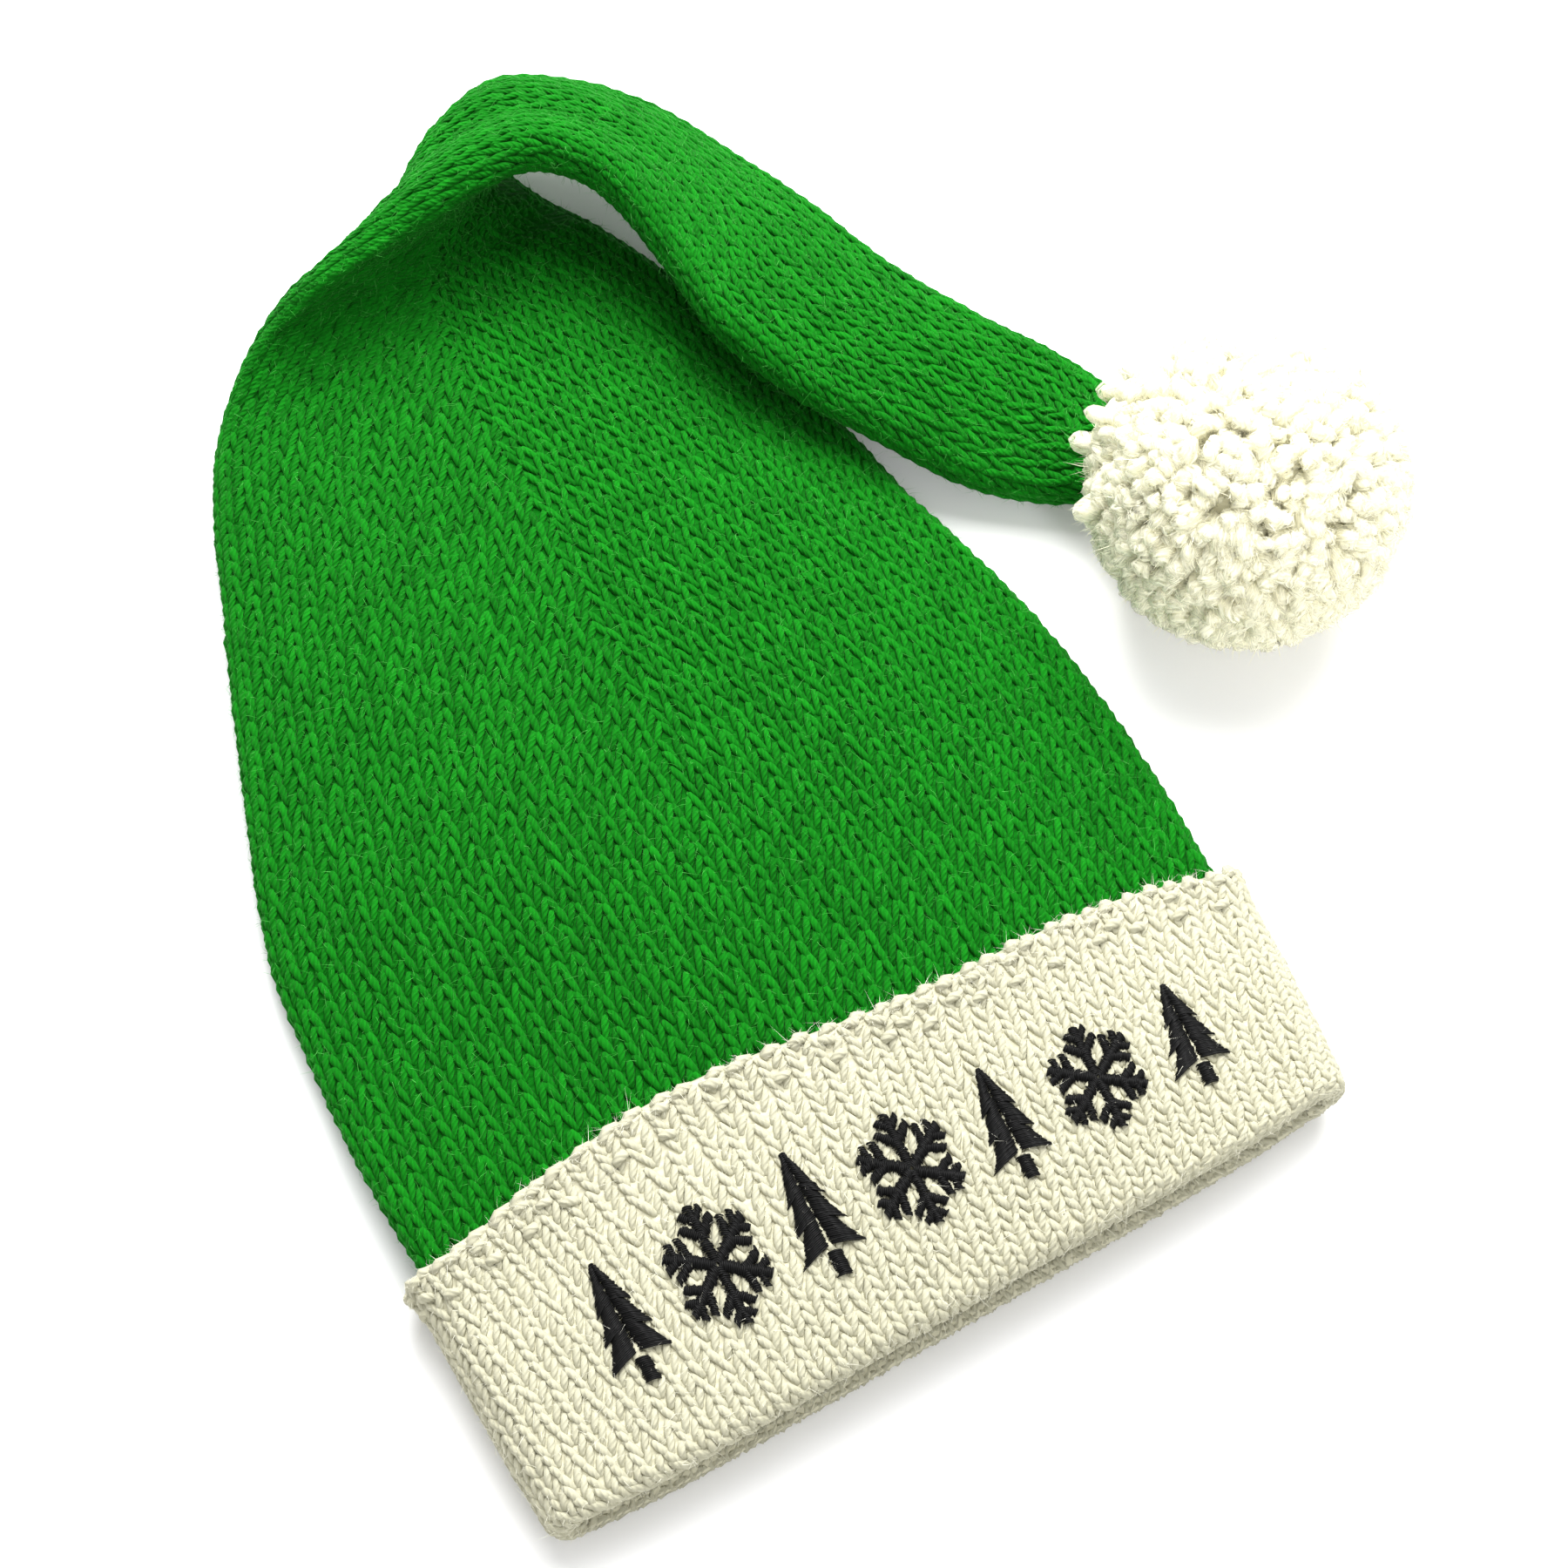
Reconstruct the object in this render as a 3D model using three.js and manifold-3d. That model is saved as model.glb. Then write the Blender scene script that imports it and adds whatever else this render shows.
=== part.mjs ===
import * as THREE from "three";
import Module from "manifold-3d";

// Sizes in mm. The hat lies on z = 0 with its cuff along X and its crown towards +Y.
const knitWall = 3.5;
const cuffWall = 4.0;
const layerGap = 0.4;
const seamGap = 0.35;
const lyingHalf = 6.5;
const crownStep = 13;
const bendStep = 9;
const bendFrom = 290;
const spanSteps = 10;
const endSteps = 6;

const cuffDepth = 71;
const seamY = 57;
const foldRadius = 4.2;
const rimHeight = 7;
const rimBulge = 0.9;
const rimBow = 7.5;
const cornerRise = 2;
const foldLean = 6.5;
const rimLean = 1;
const rimWave = 2.5;

const pompomCentre = new THREE.Vector3(165, 159, 39);
const pompomCore = 33;
const pompomReach = 42.5;
const lockCount = 60;
const lockRadius = 7.4;
const lockSides = 5;

const cuffLift = lyingHalf + layerGap + cuffWall;

// One row for each section of the flattened tube: its left and right side fold (l, r),
// half of its thickness, how far its front and its back swell, and a valley behind the left fold.
const crownSections = [
  {
    lx: -112.5, ly: seamY, lz: cuffLift, rx: 110.5, ry: seamY, rz: cuffLift,
    half: lyingHalf, front: 8, back: 0, valley: 0,
  },
  {
    lx: -114.5, ly: 78, lz: cuffLift, rx: 111, ry: 78, rz: cuffLift,
    half: lyingHalf, front: 8.2, back: 0, valley: 0,
  },
  { lx: -116.5, ly: 105, lz: 9, rx: 112, ry: 105, rz: 9, half: 6.5, front: 11.6, back: 0, valley: 0 },
  { lx: -116.5, ly: 132, lz: 6.5, rx: 111.8, ry: 132, rz: 6.5, half: 6.5, front: 15.2, back: 0, valley: 0 },
  { lx: -115.5, ly: 158, lz: 6.5, rx: 109, ry: 158, rz: 6.5, half: 6.5, front: 15.6, back: 0, valley: 0 },
  { lx: -109.2, ly: 187, lz: 6.5, rx: 103, ry: 187, rz: 6.5, half: 6.5, front: 15.6, back: 0, valley: 0 },
  { lx: -101.8, ly: 213, lz: 6.5, rx: 95.6, ry: 213, rz: 6.5, half: 6.5, front: 15.4, back: 0, valley: 0 },
  { lx: -94, ly: 240, lz: 6.5, rx: 90, ry: 240, rz: 6.5, half: 6.5, front: 13.8, back: 0, valley: 0 },
  { lx: -85.8, ly: 266, lz: 6.5, rx: 82, ry: 266, rz: 6.5, half: 6.5, front: 11.8, back: 0, valley: 0 },
  { lx: -78.5, ly: 290, lz: 7, rx: 74.5, ry: 290, rz: 6.5, half: 6.5, front: 9.2, back: 0, valley: 0 },
  { lx: -66.5, ly: 315, lz: 9, rx: 66, ry: 316, rz: 6.5, half: 6.5, front: 5.2, back: 0, valley: 0 },
  { lx: -48, ly: 329.8, lz: 22.5, rx: 55.5, ry: 338, rz: 6.5, half: 6.6, front: 2, back: 2, valley: 0 },
  { lx: -27.5, ly: 329.3, lz: 40, rx: 46, ry: 354, rz: 6.5, half: 6.8, front: 1, back: 4.5, valley: 1 },
  { lx: -3.5, ly: 329, lz: 49.5, rx: 40, ry: 369, rz: 7, half: 7, front: 1, back: 6, valley: 2.5 },
  { lx: 18.5, ly: 330.5, lz: 54.5, rx: 39, ry: 380, rz: 8.5, half: 7, front: 1, back: 5.5, valley: 3.5 },
  { lx: 37, ly: 331, lz: 54, rx: 49, ry: 385, rz: 13, half: 7, front: 1, back: 4.5, valley: 3.5 },
  { lx: 50, ly: 324, lz: 51, rx: 66.8, ry: 376.6, rz: 13, half: 7, front: 1, back: 3.5, valley: 2.5 },
  { lx: 57, ly: 311.5, lz: 46.5, rx: 85, ry: 357, rz: 14.2, half: 7, front: 1, back: 2.5, valley: 1 },
  { lx: 60.3, ly: 292.9, lz: 41.5, rx: 98.5, ry: 332.7, rz: 14.2, half: 7, front: 1, back: 2.5, valley: 0 },
  { lx: 63.1, ly: 270, lz: 37.1, rx: 110.2, ry: 309.1, rz: 14.5, half: 7, front: 1, back: 2.5, valley: 0 },
  { lx: 74.1, ly: 246.7, lz: 29.8, rx: 122.9, ry: 277.8, rz: 13.8, half: 7, front: 1, back: 2.5, valley: 0 },
  { lx: 90.2, ly: 225.9, lz: 22.6, rx: 137, ry: 251, rz: 15.5, half: 7, front: 1, back: 2.5, valley: 0 },
  { lx: 107.5, ly: 206.4, lz: 14.1, rx: 150.2, ry: 233.8, rz: 13, half: 7, front: 1, back: 2.5, valley: 0 },
  { lx: 124, ly: 194, lz: 11, rx: 157.5, ry: 217, rz: 15, half: 7, front: 1, back: 2.5, valley: 0 },
  { lx: 137, ly: 186, lz: 15, rx: 161, ry: 204, rz: 19, half: 7, front: 0, back: 2, valley: 0 },
  { lx: 148, ly: 182, lz: 20, rx: 160, ry: 193, rz: 23, half: 5.5, front: 0, back: 0, valley: 0 },
];

// Soft folds in the front of the crown: where along and across, its reach both ways, and its depth.
const frontFolds = [
  { y: 228, x: -22, alongY: 46, acrossX: 11, depth: 2.2 },
  { y: 292, x: -40, alongY: 26, acrossX: 20, depth: 2.4 },
  { y: 118, x: 46, alongY: 34, acrossX: 30, depth: 1.6 },
  { y: 100, x: -66, alongY: 26, acrossX: 22, depth: 1.4 },
];

// The cuff's flattened tube under its turn-up.
const cuffSections = [
  { y: 0, aside: -0.7, halfWidth: 107, front: 3 },
  { y: 18, aside: -0.8, halfWidth: 108.6, front: 5.5 },
  { y: 40, aside: -0.9, halfWidth: 110.2, front: 7.5 },
  { y: seamY, aside: -1, halfWidth: 111.5, front: 8 },
  { y: 84, aside: -1.9, halfWidth: 113.2, front: 8.6 },
];

const crownKeys = ["lx", "ly", "lz", "rx", "ry", "rz", "half", "front", "back", "valley"];
const cuffKeys = ["aside", "halfWidth", "front"];

function stations(rows) {
  const at = [0];
  for (let i = 1; i < rows.length; i += 1) {
    const a = rows[i - 1];
    const b = rows[i];
    const left = Math.hypot(b.lx - a.lx, b.ly - a.ly, b.lz - a.lz);
    const right = Math.hypot(b.rx - a.rx, b.ry - a.ry, b.rz - a.rz);
    at.push(at[i - 1] + (left + right) / 2);
  }
  return at;
}

function smoothRow(rows, at, keys, s) {
  let i = 0;
  while (i < rows.length - 2 && s > at[i + 1]) {
    i += 1;
  }
  const step = at[i + 1] - at[i];
  const t = Math.min(1, Math.max(0, (s - at[i]) / step));
  const row = {};
  for (const key of keys) {
    const slope = (k) => {
      const lo = Math.max(0, k - 1);
      const hi = Math.min(rows.length - 1, k + 1);
      return (rows[hi][key] - rows[lo][key]) / (at[hi] - at[lo]);
    };
    const h01 = t * t * (3 - 2 * t);
    const h10 = t * (1 - t) * (1 - t);
    const h11 = t * t * (t - 1);
    const value = rows[i][key] * (1 - h01) + rows[i + 1][key] * h01;
    row[key] = value + step * (slope(i) * h10 + slope(i + 1) * h11);
  }
  return row;
}

// Points round a flattened tube: along its width (a), along its thickness (b), and where on the span (u).
function flattenedRing(halfWidth, half, front, back) {
  const points = [];
  const straight = halfWidth - half;
  for (let i = 0; i < spanSteps; i += 1) {
    const u = -1 + (2 * i) / spanSteps;
    points.push({ a: u * straight, b: half + front * (1 - u * u), u, side: 1 });
  }
  for (let i = 0; i < endSteps; i += 1) {
    const turn = Math.PI / 2 - (Math.PI * i) / endSteps;
    points.push({ a: straight + half * Math.cos(turn), b: half * Math.sin(turn), u: 1, side: 0 });
  }
  for (let i = 0; i < spanSteps; i += 1) {
    const u = 1 - (2 * i) / spanSteps;
    points.push({ a: u * straight, b: -half - back * (1 - u * u), u, side: -1 });
  }
  for (let i = 0; i < endSteps; i += 1) {
    const turn = -Math.PI / 2 - (Math.PI * i) / endSteps;
    points.push({ a: -straight + half * Math.cos(turn), b: half * Math.sin(turn), u: -1, side: 0 });
  }
  return points;
}

function foldDepth(x, y) {
  let depth = 0;
  for (const fold of frontFolds) {
    const along = (y - fold.y) / fold.alongY;
    const across = (x - fold.x) / fold.acrossX;
    depth += fold.depth * Math.exp(-along * along - across * across);
  }
  return depth;
}

const crownAt = stations(crownSections);
const crownLength = crownAt[crownAt.length - 1];

function crownRing(s, grow) {
  const row = smoothRow(crownSections, crownAt, crownKeys, s);
  const before = smoothRow(crownSections, crownAt, crownKeys, Math.max(0, s - 4));
  const after = smoothRow(crownSections, crownAt, crownKeys, Math.min(crownLength, s + 4));
  const left = new THREE.Vector3(row.lx, row.ly, row.lz);
  const right = new THREE.Vector3(row.rx, row.ry, row.rz);
  const centre = left.clone().add(right).multiplyScalar(0.5);
  const across = right.clone().sub(left);
  const halfWidth = across.length() / 2;
  across.normalize();
  const along = new THREE.Vector3(
    after.lx + after.rx - before.lx - before.rx,
    after.ly + after.ry - before.ly - before.ry,
    after.lz + after.rz - before.lz - before.rz,
  );
  const normal = across.clone().cross(along).normalize();
  return flattenedRing(halfWidth + grow, row.half + grow, row.front, row.back).map((p) => {
    const point = centre.clone().addScaledVector(across, p.a);
    const dent = p.side > 0 ? foldDepth(point.x, point.y) * (1 - p.u ** 4) * Math.min(1, row.front / 3) : 0;
    const valley = p.side < 0 ? row.valley * Math.exp(-(((p.u + 0.4) / 0.3) ** 2)) : 0;
    point.addScaledVector(normal, p.b - dent + valley);
    point.z = Math.max(0, point.z);
    return point;
  });
}

// A closed skin through rings of points: open loops are capped with a fan at their middle.
function skin(rings, capped) {
  const count = rings[0].length;
  const points = rings.flat();
  const triangles = [];
  const joins = capped ? rings.length - 1 : rings.length;
  for (let k = 0; k < joins; k += 1) {
    const lower = k * count;
    const upper = ((k + 1) % rings.length) * count;
    for (let i = 0; i < count; i += 1) {
      const j = (i + 1) % count;
      triangles.push(lower + i, upper + j, upper + i);
      triangles.push(lower + i, lower + j, upper + j);
    }
  }
  if (capped) {
    for (const last of [false, true]) {
      const ring = last ? rings[rings.length - 1] : rings[0];
      const start = last ? (rings.length - 1) * count : 0;
      const middle = points.length;
      points.push(ring.reduce((sum, p) => sum.add(p), new THREE.Vector3()).divideScalar(count));
      for (let i = 0; i < count; i += 1) {
        const j = (i + 1) % count;
        triangles.push(middle, start + (last ? i : j), start + (last ? j : i));
      }
    }
  }
  return geometryOf(points, triangles);
}

function geometryOf(points, triangles) {
  const geometry = new THREE.BufferGeometry();
  const flat = points.flatMap((p) => [p.x, p.y, p.z]);
  geometry.setAttribute("position", new THREE.Float32BufferAttribute(flat, 3));
  geometry.setIndex(triangles);
  return geometry;
}

const wasm = await Module();
wasm.setup();

function solidOf(geometry) {
  const position = geometry.getAttribute("position");
  const vertProperties = [];
  const triVerts = [];
  const seen = new Map();
  const index = geometry.index ? Array.from(geometry.index.array) : [...Array(position.count).keys()];
  for (const i of index) {
    const place = [position.getX(i), position.getY(i), position.getZ(i)];
    const key = place.map((v) => Math.round(v * 1e4)).join();
    if (!seen.has(key)) {
      seen.set(key, seen.size);
      vertProperties.push(...place);
    }
    triVerts.push(seen.get(key));
  }
  const kept = [];
  for (let t = 0; t < triVerts.length; t += 3) {
    const [a, b, c] = triVerts.slice(t, t + 3);
    if (a !== b && b !== c && a !== c) {
      kept.push(a, b, c);
    }
  }
  return new wasm.Manifold(new wasm.Mesh({
    numProp: 3,
    vertProperties: new Float32Array(vertProperties),
    triVerts: new Uint32Array(kept),
  }));
}

function geometryFrom(solid) {
  const mesh = solid.getMesh();
  const geometry = new THREE.BufferGeometry();
  const flat = [];
  for (let i = 0; i < mesh.vertProperties.length; i += mesh.numProp) {
    flat.push(...mesh.vertProperties.subarray(i, i + 3));
  }
  geometry.setAttribute("position", new THREE.Float32BufferAttribute(flat, 3));
  geometry.setIndex(Array.from(mesh.triVerts));
  return geometry;
}

function ringStations(end, coarser) {
  const at = [];
  for (let i = 1; i < crownSections.length; i += 1) {
    const step = (crownSections[i].ly > bendFrom || crownSections[i].lx > 0 ? bendStep : crownStep) * coarser;
    const from = crownAt[i - 1];
    const count = Math.max(1, Math.round((crownAt[i] - from) / step));
    for (let k = 0; k < count; k += 1) {
      at.push(from + ((crownAt[i] - from) * k) / count);
    }
  }
  return [...at.filter((s) => s < end - 3), end];
}

function crownShell() {
  const outer = ringStations(crownLength, 1).map((s) => crownRing(s, 0));
  const inner = ringStations(crownLength - knitWall - 6, 1.5).map((s) => crownRing(s, -knitWall));
  // from the end of the hollow down the inside, round the lower edge and up the outside to the tip
  return skin([...inner.reverse(), ...outer], true);
}

function cuffRing(y, grow, turnedUp) {
  const at = cuffSections.map((row) => row.y);
  const row = smoothRow(cuffSections, at, cuffKeys, Math.max(0, y));
  const rise = Math.min(1, Math.max(0, (y - 14) / 50));
  const bow = turnedUp ? rimBow * rise * rise * (3 - 2 * rise) : 0;
  const low = Math.min(1, Math.max(0, 1 - y / 48));
  return flattenedRing(row.halfWidth + grow, lyingHalf + grow, row.front, 0).map((p) => {
    const wave = rimLean * p.u + rimWave * Math.cos((2 * Math.PI * (p.u + 0.45)) / 1.3);
    const tilt = turnedUp ? wave * rise : 0;
    const lean = (foldLean * p.u + cornerRise * p.u ** 6) * low + tilt;
    const away = y + bow * (1 - p.u * p.u) + lean;
    return new THREE.Vector3(row.aside + p.a, away, Math.max(0, cuffLift + p.b));
  });
}

// The cuff's fold in section: from the seam down the inside, round the fold, up the outside and back down.
function cuffBand() {
  const outside = layerGap + cuffWall;
  const profile = [
    { y: seamY - seamGap, grow: -knitWall, up: false },
    { y: 40, grow: -knitWall, up: false },
    { y: 22, grow: -knitWall, up: false },
    { y: 7, grow: -knitWall, up: false },
  ];
  const middle = (outside - knitWall) / 2;
  const reach = (outside + knitWall) / 2;
  for (let i = 1; i < 6; i += 1) {
    const turn = (Math.PI * i) / 6;
    profile.push({ y: foldRadius * (1 - Math.sin(turn)), grow: middle - reach * Math.cos(turn), up: i > 2 });
  }
  profile.push(
    { y: 7, grow: outside, up: true },
    { y: 22, grow: outside + 0.3, up: true },
    { y: 40, grow: outside + 0.3, up: true },
    { y: cuffDepth - rimHeight - 2, grow: outside, up: true },
    { y: cuffDepth - rimHeight + 1, grow: outside + rimBulge, up: true },
    { y: cuffDepth - 2, grow: outside + rimBulge, up: true },
    { y: cuffDepth, grow: layerGap + cuffWall * 0.55, up: true },
    { y: cuffDepth - 1.5, grow: layerGap, up: true },
    { y: 55, grow: layerGap, up: true },
    { y: 40, grow: layerGap, up: true },
    { y: 22, grow: layerGap, up: true },
    { y: 7.5, grow: layerGap, up: true },
    { y: 6, grow: layerGap / 2, up: true },
    { y: 7.5, grow: 0, up: false },
    { y: 22, grow: 0, up: false },
    { y: 40, grow: 0, up: false },
    { y: seamY - seamGap, grow: 0, up: false },
  );
  return skin(profile.map((p) => cuffRing(p.y, p.grow, p.up)), false);
}

// A lock of yarn: a round-ended spike with its foot in the head of the pompom.
function lockGeometry(direction, reach, radius) {
  const rings = [
    { out: pompomCore * 0.72, wide: radius * 0.8 },
    { out: reach * 0.9, wide: radius },
    { out: reach, wide: radius * 0.45 },
  ];
  const side = new THREE.Vector3(-direction.y, direction.x, 0.3).normalize();
  const first = side.sub(direction.clone().multiplyScalar(side.dot(direction))).normalize();
  const second = direction.clone().cross(first);
  return skin(rings.map((ring) => {
    const points = [];
    for (let i = 0; i < lockSides; i += 1) {
      const turn = (2 * Math.PI * i) / lockSides;
      const point = pompomCentre.clone().addScaledVector(direction, ring.out);
      point.addScaledVector(first, ring.wide * Math.cos(turn));
      points.push(point.addScaledVector(second, ring.wide * Math.sin(turn)));
    }
    return points;
  }), true);
}

function pompomBall() {
  const core = new THREE.IcosahedronGeometry(pompomCore, 3);
  core.translate(pompomCentre.x, pompomCentre.y, pompomCentre.z);
  let ball = solidOf(core);
  for (let i = 0; i < lockCount; i += 1) {
    const up = 1 - (2 * (i + 0.5)) / lockCount;
    const round = i * Math.PI * (3 - Math.sqrt(5));
    const flat = Math.sqrt(1 - up * up);
    const direction = new THREE.Vector3(flat * Math.cos(round), flat * Math.sin(round), up);
    const uneven = Math.sin(i * 12.9898) * 43758.5453;
    const reach = pompomReach - 3.4 * (uneven - Math.floor(uneven));
    ball = ball.add(solidOf(lockGeometry(direction, reach, lockRadius)));
  }
  const socket = [];
  for (let s = crownLength - 60; s <= crownLength; s += 5) {
    socket.push(crownRing(s, layerGap));
  }
  const below = new THREE.BoxGeometry(200, 200, 60);
  below.translate(pompomCentre.x, pompomCentre.y, -30);
  return geometryFrom(ball.subtract(solidOf(skin(socket, true))).subtract(solidOf(below)));
}

const hat = new THREE.Group();
hat.name = "christmas_beanie";

function place(name, geometry, color, roughness) {
  const material = new THREE.MeshStandardMaterial({ color, roughness, metalness: 0 });
  const mesh = new THREE.Mesh(geometry, material);
  mesh.name = name;
  hat.add(mesh);
}

const pieces = [
  { name: "crown", geometry: crownShell(), color: 0x0a7d12, roughness: 0.95 },
  { name: "cuff", geometry: cuffBand(), color: 0xe4dcc6, roughness: 0.95 },
  { name: "pompom", geometry: pompomBall(), color: 0xf5f1e2, roughness: 0.95 },
];
const box = new THREE.Box3();
for (const piece of pieces) {
  piece.geometry.computeBoundingBox();
  box.union(piece.geometry.boundingBox);
}
const middle = box.getCenter(new THREE.Vector3());
for (const piece of pieces) {
  piece.geometry.translate(-middle.x, -middle.y, 0);
  place(piece.name, piece.geometry, piece.color, piece.roughness);
}

export default hat;
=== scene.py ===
import math

import bpy
import numpy as np
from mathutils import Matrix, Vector


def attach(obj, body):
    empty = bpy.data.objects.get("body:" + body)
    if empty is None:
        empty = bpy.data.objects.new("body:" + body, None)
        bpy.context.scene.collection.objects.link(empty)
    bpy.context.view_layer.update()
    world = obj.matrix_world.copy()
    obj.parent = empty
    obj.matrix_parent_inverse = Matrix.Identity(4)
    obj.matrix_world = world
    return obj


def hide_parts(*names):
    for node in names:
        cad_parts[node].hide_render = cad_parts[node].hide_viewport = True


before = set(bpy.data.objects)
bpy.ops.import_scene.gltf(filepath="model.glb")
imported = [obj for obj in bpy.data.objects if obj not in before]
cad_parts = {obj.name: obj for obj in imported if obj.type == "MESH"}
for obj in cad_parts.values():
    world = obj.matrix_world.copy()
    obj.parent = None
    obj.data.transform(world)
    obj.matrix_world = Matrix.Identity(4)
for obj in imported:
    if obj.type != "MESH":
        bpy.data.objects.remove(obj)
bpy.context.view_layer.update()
dice = np.random.default_rng(41)
print("frame loaded:", sorted(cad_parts))

# Lengths below are in mm in the hat's own frame: x along the cuff, y towards the tail, z up from the floor.
# The seam of the crown and the cuff ends here, which tells where the frame puts the hat.
seamX, seamY = -112.5, 57.0
crownPoints = np.array([v.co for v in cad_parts["crown"].data.vertices]) * 1000
seamRing = crownPoints[crownPoints[:, 1] < crownPoints[:, 1].min() + 1]
seamEnd = seamRing[np.argmin(seamRing[:, 0])]
shift = np.array([seamEnd[0] - seamX, seamEnd[1] - seamY, 0.0])


def unit(vectors):
    return vectors / np.maximum(np.linalg.norm(vectors, axis=-1, keepdims=True), 1e-9)


# A smooth curve through a table whose rows stand at given distances, read at the distances s.
def smoothTable(rows, at, s):
    rows, at, s = np.array(rows, float), np.array(at, float), np.atleast_1d(np.array(s, float))
    slopes = np.empty_like(rows)
    slopes[1:-1] = (rows[2:] - rows[:-2]) / (at[2:] - at[:-2])[:, None]
    slopes[0] = (rows[1] - rows[0]) / (at[1] - at[0])
    slopes[-1] = (rows[-1] - rows[-2]) / (at[-1] - at[-2])
    i = np.clip(np.searchsorted(at, s) - 1, 0, len(at) - 2)
    step = (at[i + 1] - at[i])[:, None]
    t = np.clip((s - at[i])[:, None] / step, 0, 1)
    rise = t * t * (3 - 2 * t)
    value = rows[i] * (1 - rise) + rows[i + 1] * rise
    return value + step * (slopes[i] * t * (1 - t) ** 2 + slopes[i + 1] * t * t * (t - 1))


# Round a flattened tube: left end, front, right end, back.
# Columns: u on the span, cos and sin on an end, side.
def ringTemplate(span, end):
    quarter = np.arange(end) / end * math.pi / 2
    across = -1 + 2 * np.arange(span) / span
    turn = np.concatenate([math.pi - quarter, math.pi / 2 - np.arange(2 * end) / (2 * end) * math.pi,
                           -math.pi / 2 - np.append(quarter, math.pi / 2)])
    upper, right, lower = turn[:end], turn[end:3 * end], turn[3 * end:]
    columns = [
        np.stack([-np.ones(end), np.cos(upper), np.sin(upper), np.zeros(end)], 1),
        np.stack([across, np.zeros(span), np.ones(span), np.ones(span)], 1),
        np.stack([np.ones(2 * end), np.cos(right), np.sin(right), np.zeros(2 * end)], 1),
        np.stack([-across, np.zeros(span), -np.ones(span), -np.ones(span)], 1),
        np.stack([-np.ones(end + 1), np.cos(lower), np.sin(lower), np.zeros(end + 1)], 1),
    ]
    return np.concatenate(columns), end + span + end


# Such rings as offsets across and out, from half widths, half thicknesses and swells.
def flatRing(template, halfWidth, half, front, back):
    u, cosine, sine = template[:, 0], template[:, 1], template[:, 2]
    swell = np.where(sine > 0, front[:, None], -back[:, None]) * (1 - u * u)
    a = u * (halfWidth - half)[:, None] + half[:, None] * cosine
    return a, half[:, None] * sine + swell


# A grid of points on a knitted face and its outward normals. Rows run along the wales.
class Cloth:
    def __init__(self, points):
        self.points = points
        self.normals = unit(np.cross(np.gradient(points, axis=1), np.gradient(points, axis=0)))

    def at(self, row, column):
        rows, columns = self.points.shape[:2]
        row = np.clip(row, 0, rows - 1.001)
        column = np.clip(column, 0, columns - 1.001)
        i, j = row.astype(int), column.astype(int)
        down, over = (row - i)[..., None], (column - j)[..., None]

        def between(grid):
            first = grid[i, j] * (1 - over) + grid[i, j + 1] * over
            second = grid[i + 1, j] * (1 - over) + grid[i + 1, j + 1] * over
            return first * (1 - down) + second * down

        return between(self.points), unit(between(self.normals))


# Many copies of one small mesh, each in a cell of the piece's map.
def copies(count, points, quads, tris, quadMap, triMap, lay, tone):
    return {
        "points": points.reshape(-1, 3),
        "quads": quads.reshape(-1, 4),
        "tris": tris.reshape(-1, 3),
        "quadMap": np.tile(quadMap, (count, 1, 1)),
        "triMap": np.tile(triMap, (count, 1, 1)),
        "cells": count,
        "quadCell": np.repeat(np.arange(count), len(quadMap)),
        "triCell": np.repeat(np.arange(count), len(triMap)),
        "lay": lay.reshape(-1, 3),
        "tone": tone.ravel(),
    }


fibre = {
    "girth": 8.0,  # once round a yarn, where its length is in mm
    "apart": 90.0,  # how far apart two yarns may lie in the noise
    "stretch": (0.3, 1.3, 1.0),  # of the streaks: along the yarn, around it, from yarn to yarn
    "plyHeight": 0.8,
    "bumpDepth": 0.0006,
    "hazeRise": 2.6,
}


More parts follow.
